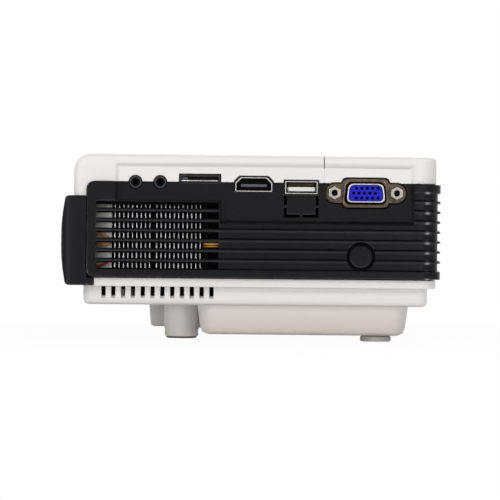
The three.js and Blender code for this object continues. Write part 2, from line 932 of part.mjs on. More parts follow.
function sideBand() {
  const inner = housingForm(wall, bandBottomZ - overrun);
  const outline = rounded([
    [bandFront, bandBottomZ],
    [bodyRear + overrun * 2, bandBottomZ],
    [bodyRear + overrun * 2, bandTopZ],
    [bandFront, bandTopZ],
  ], bandCornerRadius);
  const sideTrim = prism('y', outline, -bodyHalf - overrun, bodyHalf + overrun);
  const allRibs = [...Array(ribCount).keys()];
  const well = [buttonX, buttonZ];
  const wellZone = rod('y', well, buttonWellRadius, -bodyHalf - overrun, panelInnerY - buttonWellFloor);
  const stemHole = rod('y', well, buttonStemRadius + gap, -bodyHalf, -innerHalf + overrun, smallSides);
  const inletHole = prism('x', roundedRectangle(
    inletY, inletZ, inletWidth + gap * 2, inletHeight + gap * 2, inletCorner,
  ), bodyRear - wall - overrun, bodyRear + overrun);
  return bandForm()
    .add(smoothFrame())
    .subtract(inner)
    .intersect(sideTrim)
    .subtract(recessCut())
    .subtract(portCuts())
    .subtract(blankCuts())
    .subtract(slotCuts(-1, grilleFront, grilleRear, allRibs))
    .subtract(slotCuts(1, grilleFront, grilleRear, allRibs))
    .subtract(slotCuts(1, speakerX - speakerRadius, speakerX + speakerRadius, speakerSlotRibs))
    .subtract(wellZone)
    .subtract(stemHole)
    .subtract(inletHole);
}

// The hollow white form above the band, before it is split at the seam.
function whiteHousing() {
  const bandSpace = rounded([
    [bandFront - gap, bandBottomZ - overrun * 2],
    [bodyRear + overrun * 2, bandBottomZ - overrun * 2],
    [bodyRear + overrun * 2, coverBottomZ],
    [bandFront - gap, coverBottomZ],
  ], bandCornerRadius + gap);
  return housingForm(0, bandBottomZ)
    .subtract(housingForm(wall, bandBottomZ - overrun))
    .subtract(prism('y', bandSpace, -bodyHalf - overrun, bodyHalf + overrun))
    .subtract(recessCut())
    .subtract(portCuts());
}

// Round bosses that hang from the ceiling down to a board.
function hangingBosses(places, radius, lowZ) {
  return joined(places.map(([x, y]) => rod('z', [x, y], radius, lowZ, ceilingZ + wall / 2, smallSides)));
}

function topCover() {
  const behindSeam = block(
    [seamX - gap / 2, bodyRear + overrun],
    [-bodyHalf - overrun, bodyHalf + overrun],
    [0, topZ + overrun],
  );
  const bosses = hangingBosses([
    [boardFront + legInset * 2, boardFarY - legInset * 2],
    [seamX - legWidth * 2, boardFarY - legInset * 2],
  ], bossRadius, boardTopZ + gap);
  const lensHole = rod(
    'x', [lensY, lensZ], lensOpening, bodyFront - overrun, bodyFront + wall + overrun, fineSides,
  );
  return whiteHousing().add(bosses).subtract(behindSeam).subtract(lensHole);
}

// The outline of one arrow key of the pad: a piece of a ring, grown all round.
function arrowOutline(quarter, grow) {
  const middle = quarter * quarterTurn;
  const spread = quarterTurn / 2 - padGapAngle + grow / padOuter;
  const innerSpread = quarterTurn / 2 - padGapAngle + grow / padInner;
  const shape = new THREE.Shape();
  shape.absarc(padX, 0, padOuter + grow, middle - spread, middle + spread, false);
  shape.absarc(padX, 0, padInner - grow, middle + innerSpread, middle - innerSpread, true);
  shape.closePath();
  return shape;
}

// The outline of a key by name, grown all round.
function keyOutline(name, grow) {
  if (name in arrowQuarters) {
    return arrowOutline(arrowQuarters[name], grow);
  }
  const shape = new THREE.Shape();
  const radius = name === 'key_ok' ? okRadius : roundKeyRadius;
  shape.absarc(padX, roundKeyY[name] ?? 0, radius + grow, 0, fullTurn, false);
  return shape;
}

const keyNames = [
  'key_ok', 'key_up', 'key_down', 'key_left', 'key_right', 'key_power', 'key_source', 'key_menu', 'key_back',
];

function key(name) {
  const cap = prism('z', keyOutline(name, 0), keyBottomZ, topZ + keyProud, keySteps);
  if (!(name in arrowQuarters)) {
    return cap.add(prism('z', keyOutline(name, keySkirt), keyBottomZ, keySkirtTopZ, keySteps));
  }
  const reach = padOuter + keySkirt;
  const middle = arrowQuarters[name] * quarterTurn;
  const spread = quarterTurn / 2 - padGapAngle;
  const tab = new THREE.Shape();
  tab.absarc(padX, 0, reach, middle - spread, middle + spread, false);
  tab.absarc(padX, 0, padOuter - keySkirt, middle + spread, middle - spread, true);
  tab.closePath();
  return cap.add(prism('z', tab, keyBottomZ, keySkirtTopZ));
}

function keyBoard() {
  return prism('z', rectangle(
    (keyBoardFront + keyBoardRear) / 2, 0, keyBoardRear - keyBoardFront, keyBoardHalf * 2,
  ), keyBoardTopZ - keyBoardThickness, keyBoardTopZ);
}

function controlDeck() {
  const aheadOfSeam = block(
    [bodyFront - overrun, seamX + gap / 2],
    [-bodyHalf - overrun, bodyHalf + overrun],
    [0, topZ + overrun],
  );
  const keyPosts = [-1, 1].flatMap((side) => [
    [keyBoardFront + legInset, side * (keyBoardHalf - legInset)],
    [keyBoardRear - legInset, side * (keyBoardHalf - legInset)],
  ]);
  const boardPosts = [
    [boardRear - legInset * 2, bossRadius * 3 - innerHalf],
    [seamX + legWidth, bossRadius * 3 - innerHalf],
  ];
  const holes = joined(keyNames.map((name) => prism(
    'z', keyOutline(name, keyClearance), ceilingZ - overrun, topZ + overrun, keySteps,
  )));
  return whiteHousing()
    .subtract(aheadOfSeam)
    .subtract(holes)
    .add(hangingBosses(keyPosts, postRadius, keyBoardTopZ + gap))
    .add(hangingBosses(boardPosts, bossRadius, boardTopZ + gap));
}

const lowerPlan = {
  front: bodyFront + lowerFrontInset,
  rear: bodyRear - lowerInset,
  half: bodyHalf - lowerInset,
  frontRadius: frontCornerRadius,
  rearRadius: rearCornerRadius - lowerInset,
};

const trayPlan = {
  front: trayFront,
  rear: bodyRear - trayRearInset,
  half: trayHalf,
  frontRadius: trayCornerRadius,
  rearRadius: trayCornerRadius,
};

const stepPlan = {
  front: stepFront,
  rear: trayFront + stepOverlap + trayCornerRadius,
  half: stepHalf,
  frontRadius: stepCornerRadius,
  rearRadius: stepCornerRadius,
};

// The bottom shell's outline in three steps, drawn in by an offset and with its floors raised.
function bottomForm(offset, lift) {
  const high = lipTopZ + (lift > 0 ? overrun : 0);
  const lower = trayForm(lowerPlan, offset, lowerBottomZ + lift, high, lowerEdgeRadius, 0);
  const tray = trayForm(trayPlan, offset, trayBottomZ + lift, lowerBottomZ + wall, trayEdgeRadius, trayDraft);
  const step = trayForm(
    stepPlan, offset, lowerBottomZ - stepDepth + lift, lowerBottomZ + wall, stepEdgeRadius, trayDraft / 2,
  );
  return joined([lower, tray, step]);
}

// The flat rim that the band stands on, let in at the front for the bezel's tail.
function lipForm() {
  const lip = loft([
    planRing(bodyPlan, evenInset(0), lipBottomZ),
    planRing(bodyPlan, evenInset(0), lipTopZ),
  ]);
  const notch = block(
    [bodyFront - overrun, bandFront + bezelTail],
    [-bodyHalf - overrun, bodyHalf + overrun],
    [lipBottomZ - overrun, lipTopZ + overrun],
  );
  return lip.subtract(notch);
}

const sides = [['near', -1], ['far', 1]];

function bottomShell() {
  const footBosses = sides.map(([, side]) => rod(
    'z', [footX, side * footY], footBossRadius, footKnobHeight + gap, lowerBottomZ + floorThickness,
  ));
  const footBores = sides.map(([, side]) => rod(
    'z', [footX, side * footY], footStudRadius + gap, 0, lipTopZ, smallSides,
  ));
  const enginePosts = [
    [engineFront + legDepth + postRadius, engineNearY + legDepth * 2],
    [engineX + legDepth * 2, engineNearY + legDepth * 2],
    [engineFront + legDepth + postRadius, legWidth],
    [engineFront + legDepth + postRadius, engineFarY - legDepth * 2],
  ].map(([x, y]) => rod('z', [x, y], postRadius, lowerBottomZ + wall / 2, engineFloorZ - gap, smallSides));
  const supplyFloorZ = trayBottomZ + floorThickness + supplyRise;
  const supplyPostXs = [supplyFront + legDepth, supplyRear - legDepth];
  const supplyPostYs = [supplyNearY + legDepth, supplyFarY - legDepth];
  const supplyPosts = supplyPostXs.flatMap((x) => supplyPostYs.map((y) => rod(
    'z', [x, y], postRadius, trayBottomZ + floorThickness / 2, supplyFloorZ - gap, smallSides,
  )));
  const screwSeats = [];
  const screwHoles = [];
  const seatRadius = screwHeadRadius + gap + screwSeatWall;
  for (const [x, y, , z] of screwPlaces) {
    for (const [, side] of sides) {
      const centre = [x, side * y];
      screwSeats.push(rod('z', centre, seatRadius, z + floorThickness / 2, z + screwShankLength, smallSides));
      const headTopZ = z + screwHeadHeight + gap;
      const boreTopZ = z + screwShankLength + overrun;
      screwHoles.push(rod('z', centre, screwHeadRadius + gap, z - overrun, headTopZ, smallSides));
      screwHoles.push(rod('z', centre, screwShankRadius + gap, z, boreTopZ, smallSides));
    }
  }
  const vents = [];
  for (let vent = 0; vent < ventCount; vent += 1) {
    const x = ventFrontX + vent * ventPitch;
    vents.push(block(
      [x - ventWidth / 2, x + ventWidth / 2],
      [-bodyHalf - overrun, lowerInset + wall + gap - bodyHalf],
      [lipBottomZ - ventHeight, lipBottomZ],
    ));
  }
  return joined([bottomForm(0, 0), lipForm()])
    .subtract(bottomForm(wall, floorThickness))
    .add(joined([...footBosses, ...enginePosts, ...supplyPosts, ...screwSeats]))
    .subtract(joined([...footBores, ...screwHoles, ...vents]));
}

// The bezel's side view, with its bowed front.
function bezelOutline() {
  const edgeX = bezelFront + bezelBow;
  const bowX = bezelFront * 2 - edgeX;
  const rearX = bandFront - gap;
  const midZ = (bezelBottomZ + bezelTopZ) / 2;
  const shape = new THREE.Shape();
  shape.moveTo(bandFront + bezelTail - gap, bezelBottomZ);
  shape.lineTo(bandFront + bezelTail - gap, lipTopZ);
  shape.lineTo(rearX, lipTopZ);
  shape.lineTo(rearX, bezelTopZ);
  shape.lineTo(edgeX + bezelCornerRadius, bezelTopZ);
  shape.quadraticCurveTo(edgeX, bezelTopZ, edgeX, bezelTopZ - bezelCornerRadius);
  shape.quadraticCurveTo(bowX, midZ, edgeX, bezelBottomZ + bezelCornerRadius);
  shape.quadraticCurveTo(edgeX, bezelBottomZ, edgeX + bezelCornerRadius, bezelBottomZ);
  shape.closePath();
  return shape;
}

function frontBezel() {
  const half = bodyHalf + bezelSide;
  const plan = roundedRectangle(
    bezelFront + half, 0, half * 2, half * 2, bezelEndRadius,
  );
  const upperPocket = block(
    [bodyFront - gap, bodyRear],
    [-bodyHalf - gap, bodyHalf + gap],
    [lipTopZ, bezelTopZ + overrun],
  );
  const lowerPocket = block(
    [lowerPlan.front - gap, bodyRear],
    [-lowerPlan.half - gap, lowerPlan.half + gap],
    [bezelBottomZ - overrun, lipTopZ + overrun],
  );
  const opening = rod('x', [lensY, lensZ], lensOpening, bezelFront - overrun, bodyFront + overrun, fineSides);
  const flare = rod(
    'x', [lensY, lensZ], lensOpening + lensFlare * 2, bezelFront - lensFlare, bezelFront + lensFlare,
    fineSides, lensOpening,
  );
  const window = prism('x', irOutline(gap), bezelFront - overrun, bodyFront + overrun);
  return prism('y', bezelOutline(), -half, half, fineSides / 4)
    .intersect(prism('z', plan, bezelBottomZ - overrun, bezelTopZ + overrun))
    .subtract(upperPocket)
    .subtract(lowerPocket)
    .subtract(joined([opening, flare, window]));
}

function irOutline(grow) {
  const radius = irHeight / 2 + grow;
  const reach = (irWidth - irHeight) / 2;
  const shape = new THREE.Shape();
  shape.absarc(irY + reach, lensZ, radius, -quarterTurn, quarterTurn, false);
  shape.absarc(irY - reach, lensZ, radius, quarterTurn, -quarterTurn, false);
  shape.closePath();
  return shape;
}

function irWindow() {
  return prism('x', irOutline(0), bezelFront + irSetback, bezelFront + irSetback + irThickness);
}

// The fixed barrel: a flange on the light engine and the tube that guides the lens cell.
function lensHousing() {
  const rearX = engineFront - gap;
  const flangeX = rearX - flangeThickness;
  const frontX = bezelFront + barrelSetback;
  return turned('x', [lensY, lensZ], [
    [0, frontX],
    [barrelRadius, frontX],
    [barrelRadius, flangeX],
    [flangeRadius, flangeX],
    [flangeRadius, rearX],
    [0, rearX],
  ]).subtract(rod('x', [lensY, lensZ], barrelBore, frontX - overrun, rearX + overrun, fineSides));
}

// The knurled focus ring that turns round the barrel.
function focusRing() {
  const frontX = bezelFront + ringSetback;
  const gripX = frontX + ringGripLength;
  const rearX = frontX + ringLength;
  const grip = grippedOutline(lensY, lensZ, ringRadius, ringGripDepth, ringGripCount);
  return prism('x', grip, frontX, gripX)
    .add(rod('x', [lensY, lensZ], ringRadius - ringGripDepth, gripX, rearX, fineSides))
    .subtract(rod('x', [lensY, lensZ], ringBore, frontX - overrun, rearX + overrun, fineSides));
}

const cellFrontX = bezelFront + cellSetback;

// The sliding lens cell, with a lip in front of its glass.
function lensCell() {
  const axis = [lensY, lensZ];
  const rearX = cellFrontX + cellLength;
  const lipBore = cellBore - cellLip;
  return rod('x', axis, cellRadius, cellFrontX, rearX, fineSides)
    .subtract(rod('x', axis, cellBore, cellFrontX + glassInset, rearX + overrun, fineSides))
    .subtract(rod('x', axis, cellBore, cellFrontX - overrun, cellFrontX + overrun, fineSides, lipBore))
    .subtract(rod('x', axis, lipBore, cellFrontX - overrun, rearX, fineSides));
}

// The front glass: convex toward the screen.
function frontElement() {
  const radius = cellBore - gap;
  const rimX = cellFrontX + glassInset + gap;
  const profile = [[0, rimX + glassEdge], [radius, rimX + glassEdge], [radius, rimX]];
  for (let step = 0; step <= arcSteps; step += 1) {
    const share = 1 - step / arcSteps;
    profile.push([(radius - cellLip * 2) * share, rimX - glassInset * (1 - share * share)]);
  }
  return turned('x', [lensY, lensZ], profile);
}

// The engine's plan: a tunnel with its far corner cut off behind the fold mirror.
function engineOutline(offset) {
  const mirrorLine = engineX + lensY + (mirrorThickness + gap + engineWall) * Math.SQRT2;
  const line = mirrorLine - offset * Math.SQRT2;
  const rear = engineRear - offset;
  const far = engineFarY - offset;
  return polygon([
    [engineFront + offset, engineNearY + offset],
    [rear, engineNearY + offset],
    [rear, line - rear],
    [line - far, far],
    [engineFront + offset, far],
  ]);
}

function engineGroove(nearY, thickness) {
  const half = tunnelHalf + grooveDepth;
  return block(
    [engineX - half, engineX + half],
    [nearY - gap, nearY + thickness + gap],
    [lensZ - half, lidZ + overrun],
  );
}

function engineHousing() {
  const tunnel = prism('z', engineOutline(engineWall), engineFloorZ + engineWall, lidZ + overrun);
  return prism('z', engineOutline(0), engineFloorZ, lidZ - gap)
    .subtract(tunnel)
    .subtract(engineGroove(fresnelY, fresnelThickness))
    .subtract(engineGroove(lcdY, lcdThickness))
    .subtract(engineGroove(condenserY, condenserEdge))
    .subtract(rod('y', [engineX, lensZ], ledWindowRadius, engineNearY - overrun, engineNearY + overrun))
    .subtract(rod('x', [lensY, lensZ], exitRadius, engineFront - overrun, engineFront + overrun));
}

function engineLid() {
  return prism('z', engineOutline(0), lidZ, lidZ + lidThickness);
}

// A square optical plate that stands in a groove of the tunnel.
function opticPlate(nearY, thickness) {
  const half = tunnelHalf + grooveDepth - gap;
  return block([engineX - half, engineX + half], [nearY, nearY + thickness], [lensZ - half, lidZ - gap * 2]);
}

// The display panel: a frame round the thinner glass.
function lcdPanel() {
  const half = tunnelHalf - lcdBorder;
  const window = [[engineX - half, engineX + half], [lensZ - half, lensZ + half]];
  const step = lcdThickness / 3;
  return opticPlate(lcdY, lcdThickness)
    .subtract(block(window[0], [lcdY - overrun, lcdY + step], window[1]))
    .subtract(block(window[0], [lcdY + lcdThickness - step, lcdY + lcdThickness + overrun], window[1]));
}

// The Fresnel plate, with stepped rings on its far face.
function fresnelLens() {
  const plate = opticPlate(fresnelY, fresnelThickness);
  const rings = [];
  const ringShares = [0.45, 0.8];
  const depth = fresnelThickness / 4;
  for (const share of ringShares) {
    const radius = tunnelHalf * share;
    const inner = radius - fresnelThickness;
    const disc = rod('y', [engineX, lensZ], radius, fresnelY - overrun, fresnelY + depth);
    rings.push(disc.subtract(rod('y', [engineX, lensZ], inner, fresnelY - overrun * 2, fresnelY + overrun)));
  }
  return plate.subtract(joined(rings));
}

// The condenser: a square-edged lens bulging toward the display.
function condenserLens() {
  const radius = tunnelHalf - gap;
  const profile = [[0, condenserY], [radius, condenserY], [radius, condenserY + condenserEdge]];
  for (let step = 1; step <= arcSteps; step += 1) {
    const share = 1 - step / arcSteps;
    profile.push([radius * share, condenserY + condenserEdge + condenserBulge * (1 - share * share)]);
  }
  const flange = block(
    [engineX - tunnelHalf - grooveDepth + gap, engineX + tunnelHalf + grooveDepth - gap],
    [condenserY, condenserY + condenserEdge],
    [lensZ - tunnelHalf - grooveDepth + gap, lensZ + tunnelHalf - gap * 3],
  );
  return turned('y', [engineX, lensZ], profile).add(flange);
}

// The fold mirror, at half a right angle behind the lens.
function foldMirror() {
  const bottom = engineFloorZ + engineWall + gap;
  const high = lidZ - gap * 2;
  const geometry = new THREE.BoxGeometry(mirrorLength, mirrorThickness, high - bottom);
  geometry.translate(0, mirrorThickness / 2, (bottom + high) / 2);
  geometry.rotateZ(-quarterTurn / 2);
  geometry.translate(engineX, lensY, 0);
  return toSolid(geometry);
}

// The heatsink: two groups of upright fins on one base.
function heatsink() {
  const points = [];
  let x = finFrontX;
  finGroupCounts.forEach((count, group) => {
    for (let fin = 0; fin < count; fin += 1) {
      points.push([x, finBaseY], [x, finNearY], [x + finThickness, finNearY], [x + finThickness, finBaseY]);
      x += finPitch;
    }
    x += group === 0 ? finGroupGap : 0;
  });
  const rear = points.at(-1)[0];
  points.push([rear + finThickness, finBaseY], [rear + finThickness, finBackY]);
  points.push([finFrontX - finThickness, finBackY], [finFrontX - finThickness, finBaseY]);
  return prism('z', polygon(points), finBottomZ, finTopZ);
}

// The sheet bracket beside the heatsink: one leg faces the grille, the other runs along the fins.
function heatsinkBracket() {
  const nearY = finNearY + bracketSheet * 2;
  return prism('z', polygon([
    [bracketLeft, nearY],
    [bracketRight, nearY],
    [bracketRight, finBackY],
    [bracketRight - bracketSheet, finBackY],
    [bracketRight - bracketSheet, nearY + bracketSheet],
    [bracketLeft, nearY + bracketSheet],
  ]), bracketBottomZ, bracketTopZ);
}

function ledModule() {
  const plateY = finBackY + gap;
  const chipY = plateY + ledPlateThickness;
  const plate = prism('y', roundedRectangle(
    engineX, lensZ, ledPlateHalf * 2, ledPlateHalf * 2, ledPlateThickness,
  ), plateY, chipY);
  const chip = block(
    [engineX - ledChipHalf, engineX + ledChipHalf],
    [plateY, chipY + ledChipThickness],
    [lensZ - ledChipHalf, lensZ + ledChipHalf],
  );
  const profile = [[0, chipY]];
  for (let step = 0; step <= arcSteps; step += 1) {
    const angle = (step / arcSteps) * quarterTurn;
    const domeY = chipY + ledChipThickness + ledDomeRadius * Math.sin(angle);
    profile.push([ledDomeRadius * Math.cos(angle), domeY]);
  }
  return joined([plate, chip, turned('y', [engineX, lensZ], profile, smallSides)]);
}

function fanFrame() {
  const outline = roundedRectangle(fanX, fanZ, fanSize, fanSize, fanRimWall * 2);
  const frame = prism('y', outline, fanNearY, fanFarY)
    .subtract(rod('y', [fanX, fanZ], fanBore, fanNearY - overrun, fanFarY + overrun, fineSides));
  const reach = fanBore + fanRimWall / 2;
  const plateY = [fanNearY, fanNearY + fanPlate];
  const struts = [
    block([fanX - reach, fanX + reach], plateY, [fanZ - fanStrutWidth / 2, fanZ + fanStrutWidth / 2]),
    block([fanX - fanStrutWidth / 2, fanX + fanStrutWidth / 2], plateY, [fanZ - reach, fanZ + reach]),
  ];
  const seat = rod('y', [fanX, fanZ], fanHubRadius, ...plateY);
  const bore = rod('y', [fanX, fanZ], fanShaftRadius + gap, fanNearY - overrun, fanFarY + overrun, smallSides);
  return joined([frame, ...struts, seat]).subtract(bore);
}

function fanRotor() {
  const nearY = fanNearY + fanPlate + gap;
  const farY = fanFarY - gap * 2;
  const midY = (nearY + farY) / 2;
  const tip = fanBore - gap * 2;
  const blades = [];
  for (let blade = 0; blade < fanBladeCount; blade += 1) {
    const geometry = new THREE.BoxGeometry(tip, fanBladeThickness, fanBladeChord);
    geometry.rotateX(fanBladeAngle);
    geometry.translate(tip / 2 + fanHubRadius / 2, 0, 0);
    geometry.rotateY((blade / fanBladeCount) * fullTurn);
    geometry.translate(fanX, midY, fanZ);
    blades.push(toSolid(geometry));
  }
  const sweep = rod('y', [fanX, fanZ], tip, nearY, farY, fineSides);
  const hub = rod('y', [fanX, fanZ], fanHubRadius, nearY, farY);
  const shaft = rod('y', [fanX, fanZ], fanShaftRadius, fanNearY + gap, midY, smallSides);
  return joined(blades).intersect(sweep).add(hub).add(shaft);
}

// The main board with its larger parts on the underside.
function mainBoard() {
  const board = block([boardFront, boardRear], [boardNearY, boardFarY], [boardZ, boardTopZ]);
  const chipShares = [[0.3, 0.72, 0.1], [0.52, 0.66, 0.14], [0.78, 0.74, 0.08], [0.12, 0.8, 0.06]];
  const length = boardRear - boardFront;
  const chips = chipShares.map(([alongShare, acrossShare, sizeShare]) => {
    const x = boardFront + length * alongShare;
    const y = boardNearY + boardDepth * acrossShare;
    const half = length * sizeShare / 2;
    const chipZ = [boardZ - boardChipDepth, boardZ + boardThickness / 2];
    return block([x - half, x + half], [y - half, y + half], chipZ);
  });
  return joined([board, ...chips]);
}

// A leg that carries a connector on the board's underside.
function boardLeg(x, nearY, fromZ) {
  return block([x - legWidth / 2, x + legWidth / 2], [nearY, nearY + legDepth], [fromZ, boardZ - gap]);
}

// A round audio socket: a nose through the panel and a square body behind it.
function jack(x) {
  const z = boardZ - jackDrop;
  const bodyY = connectorY + jackNose;
  const farY = connectorY + jackLength;
  const body = block([x - jackBodyHalf, x + jackBodyHalf], [bodyY, farY], [z - jackBodyHalf, boardZ - gap]);
  return rod('y', [x, z], jackRadius, connectorY, bodyY + gap, fineSides)
    .add(body)
    .subtract(rod('y', [x, z], jackBore, connectorY - overrun, farY - legInset, fineSides));
}

function cardSlot() {
  const z = boardZ - cardDrop;
  const farY = connectorY + cardLength;
  const shell = prism('y', rectangle(cardX, z, cardWidth, cardHeight), connectorY, farY);
  const space = prism('y', rectangle(
    cardX, z, cardWidth - cardSheet * 2, cardHeight - cardSheet * 2,
  ), connectorY - overrun, farY - cardSheet);
  return shell.subtract(space);
}

function hdmiSocket() {
  const farY = connectorY + hdmiLength;
  return prism('y', hdmiOutline(0), connectorY, farY)
    .subtract(prism('y', hdmiOutline(-hdmiSheet), connectorY - overrun, farY - hdmiSheet))
    .add(boardLeg(hdmiX, farY - legDepth, boardZ - hdmiDrop + hdmiHeight / 2 - hdmiSheet));
}

function hdmiTongue() {
  const z = boardZ - hdmiDrop - hdmiTongueDrop;
  const farY = connectorY + hdmiLength - hdmiSheet - gap;
  const root = tongueSetback * 2;
  return prism('y', rectangle(hdmiX, z, hdmiTongueWidth, hdmiTongueHeight), connectorY + tongueSetback, farY)
    .add(prism('y', rectangle(
      hdmiX, z, hdmiTongueWidth, hdmiHeight / 2,
    ), farY - root, farY));
}

function usbSocket() {
  const z = boardZ - usbDrop;
  const farY = connectorY + usbLength;
  return prism('y', rectangle(usbX, z, usbWidth, usbHeight), connectorY, farY)
    .subtract(prism('y', rectangle(
      usbX, z, usbWidth - usbSheet * 2, usbHeight - usbSheet * 2,
    ), connectorY - overrun, farY - usbSheet))
    .add(boardLeg(usbX, farY - legDepth, z + usbHeight / 2 - usbSheet));
}

function usbTongue() {
  const z = boardZ - usbDrop;
  const farY = connectorY + usbLength - usbSheet - gap;
  const lowZ = z - usbHeight / 2 + usbSheet + gap * 2;
  const root = tongueSetback * 2;
  return prism('y', rectangle(
    usbX, lowZ + usbTongueHeight / 2, usbTongueWidth, usbTongueHeight,
  ), connectorY + tongueSetback, farY)
    .add(prism('y', rectangle(
      usbX, z, usbTongueWidth, usbHeight - (usbSheet + gap) * 2,
    ), farY - root, farY));
}

// Depths of the video socket's stack, from the panel inward
const vgaZ = boardZ - vgaDrop;
const vgaBracketY = panelInnerY + gap;
const vgaFlangeY = vgaBracketY + vgaBracketSheet + gap;
const vgaBlockY = vgaFlangeY + vgaSheet + gap;
const vgaRimY = recessFloorY - vgaReach;

function vgaBracket() {
  const farY = vgaBracketY + vgaBracketSheet;
  const holes = [-1, 1].map((side) => rod(
    'y', [vgaX + side * vgaScrewSpacing / 2, vgaZ], vgaScrewShank + gap,
    vgaBracketY - overrun, farY + overrun, smallSides,
  ));
  return vgaBracketForm(0, vgaBracketY, farY)
    .subtract(prism('y', vgaOutline(vgaRing), vgaBracketY - overrun, farY + overrun))
    .subtract(joined(holes));
}

function vgaShell() {
  const farY = vgaFlangeY + vgaSheet;
  const flange = prism('y', roundedRectangle(
    vgaX, vgaZ, vgaFlangeWidth, vgaFlangeHeight, vgaCorner,
  ), vgaFlangeY, farY);
  return prism('y', vgaOutline(0), vgaRimY, farY)
    .add(flange)
    .subtract(prism('y', vgaOutline(-vgaSheet), vgaRimY - overrun, farY + overrun));
}

// The blue insert with its rows of pin holes, and the block behind it.
function vgaInsert() {
  const faceY = vgaRimY + vgaInsertSetback;
  const farY = vgaBlockY + vgaBlockDepth;
  const holes = [];
  for (let row = 0; row < vgaPinRowCount; row += 1) {
    for (let column = 0; column < vgaPinColumnCount; column += 1) {
      const shift = row % 2 === 0 ? vgaPinPitch / 4 : -vgaPinPitch / 4;
      const x = vgaX + (column - (vgaPinColumnCount - 1) / 2) * vgaPinPitch + shift;
      const z = vgaZ + (row - (vgaPinRowCount - 1) / 2) * vgaPinRowPitch;
      holes.push(prism('y', rectangle(x, z, vgaPinHole, vgaPinHole), faceY - overrun, faceY + vgaPinDepth));
    }
  }
  const rearBlock = prism('y', rectangle(vgaX, vgaZ, vgaFlangeWidth, vgaFlangeHeight), vgaBlockY, farY);
  return prism('y', vgaOutline(-vgaSheet - gap), faceY, vgaBlockY + gap)
    .add(rearBlock)
    .add(boardLeg(vgaX, farY - legDepth, vgaZ))
    .subtract(joined(holes));
}

// A hexagonal screw post beside the video socket, threaded for the plug's screw.
function vgaJackscrew(side) {
  const centre = [vgaX + side * vgaScrewSpacing / 2, vgaZ];
  const headY = vgaBracketY - gap;
  const frontY = recessFloorY - vgaScrewReach;
  return rod('y', centre, vgaScrewHex, frontY, headY, hexSides)
    .add(rod('y', centre, vgaScrewShank, headY, headY + vgaScrewTail, smallSides))
    .subtract(rod('y', centre, vgaScrewBore, frontY - overrun, headY - gap, smallSides));
}

function sideButton() {
  const centre = [buttonX, buttonZ];
  const capY = -bodyHalf - crestOutset + buttonCapSetback;
  const clipY = panelInnerY + gap;
  return joined([
    rod('y', centre, buttonCapRadius, capY, capY + buttonCapThickness),
    rod('y', centre, buttonStemRadius, capY, clipY + buttonClipThickness + buttonTailLength, smallSides),
    rod('y', centre, buttonClipRadius, clipY, clipY + buttonClipThickness, smallSides),
  ]);
}

function powerInlet() {
  const rear = bodyRear + crestOutset - inletSetback;
  const pocketX = rear - inletPocketDepth;
  const lobe = inletPocketHeight / 2;
  const reach = inletPocketWidth / 2 - lobe;
  const pocket = new THREE.Shape();
  pocket.absarc(inletY + reach, inletZ, lobe, -quarterTurn, quarterTurn, false);
  pocket.absarc(inletY - reach, inletZ, lobe, quarterTurn, -quarterTurn, false);
  pocket.closePath();
  const pins = [-1, 1].map((side) => rod(
    'x', [inletY + side * inletPinSpacing / 2, inletZ], inletPinRadius, pocketX - gap,
    pocketX + inletPinLength, smallSides,
  ));
  const outline = roundedRectangle(inletY, inletZ, inletWidth, inletHeight, inletCorner);
  return prism('x', outline, rear - inletDepth, rear)
    .subtract(prism('x', pocket, pocketX, rear + overrun))
    .add(joined(pins));
}

// The front foot's stud, which screws up into the boss of the bottom shell.
function footStud(side) {
  const studTopZ = lowerBottomZ + floorThickness + gap;
  return rod('z', [footX, side * footY], footStudRadius, footStudRise, studTopZ, smallSides);
}

// The gripped knob on the stud, with a drawn-in pad that meets the table.
function footKnob(side) {
  const centre = [footX, side * footY];
  const pad = rod('z', centre, footKnobRadius - footPadInset, 0, footPadHeight);
  const grip = grippedOutline(...centre, footKnobRadius, footGripDepth, footGripCount);
  const bore = rod('z', centre, footStudRadius + gap, footStudRise - gap, footKnobHeight + overrun, smallSides);
  return prism('z', grip, footPadHeight, footKnobHeight).add(pad).subtract(bore);
}

function rearFoot(side) {
  return rod('z', [rearFootX, side * rearFootY], rearFootRadius, 0, trayBottomZ - gap);
}

// A case screw in its sunk seat, with a crossed slot.
function caseScrew(x, y, floorZ) {
  const headZ = floorZ + floorThickness / 4;
  const slotZone = [headZ - overrun, headZ + screwSlotDepth];
  const reach = screwHeadRadius * screwSlotShare;
  const half = screwSlot / 2;
  return rod('z', [x, y], screwHeadRadius, headZ, floorZ + screwHeadHeight, smallSides)
    .add(rod('z', [x, y], screwShankRadius, headZ, floorZ + screwShankLength, smallSides))
    .subtract(block([x - reach, x + reach], [y - half, y + half], slotZone))
    .subtract(block([x - half, x + half], [y - reach, y + reach], slotZone));
}

// The loudspeaker: a cone in a basket, with a magnet behind it.
function speaker() {
  const farY = innerHalf - gap;
  const coneY = farY - speakerRim * 2;
  const magnetY = farY - speakerDepth;
  return turned('y', [speakerX, speakerZ], [
    [0, magnetY],
    [speakerMagnetRadius, magnetY],
    [speakerMagnetRadius, coneY - speakerRim * 2],
    [speakerRadius, farY - speakerRim],
    [speakerRadius, farY],
    [speakerRadius - speakerRim, farY],
    [speakerMagnetRadius / 2, coneY],
    [0, coneY + speakerRim],
  ], roundSides);
}

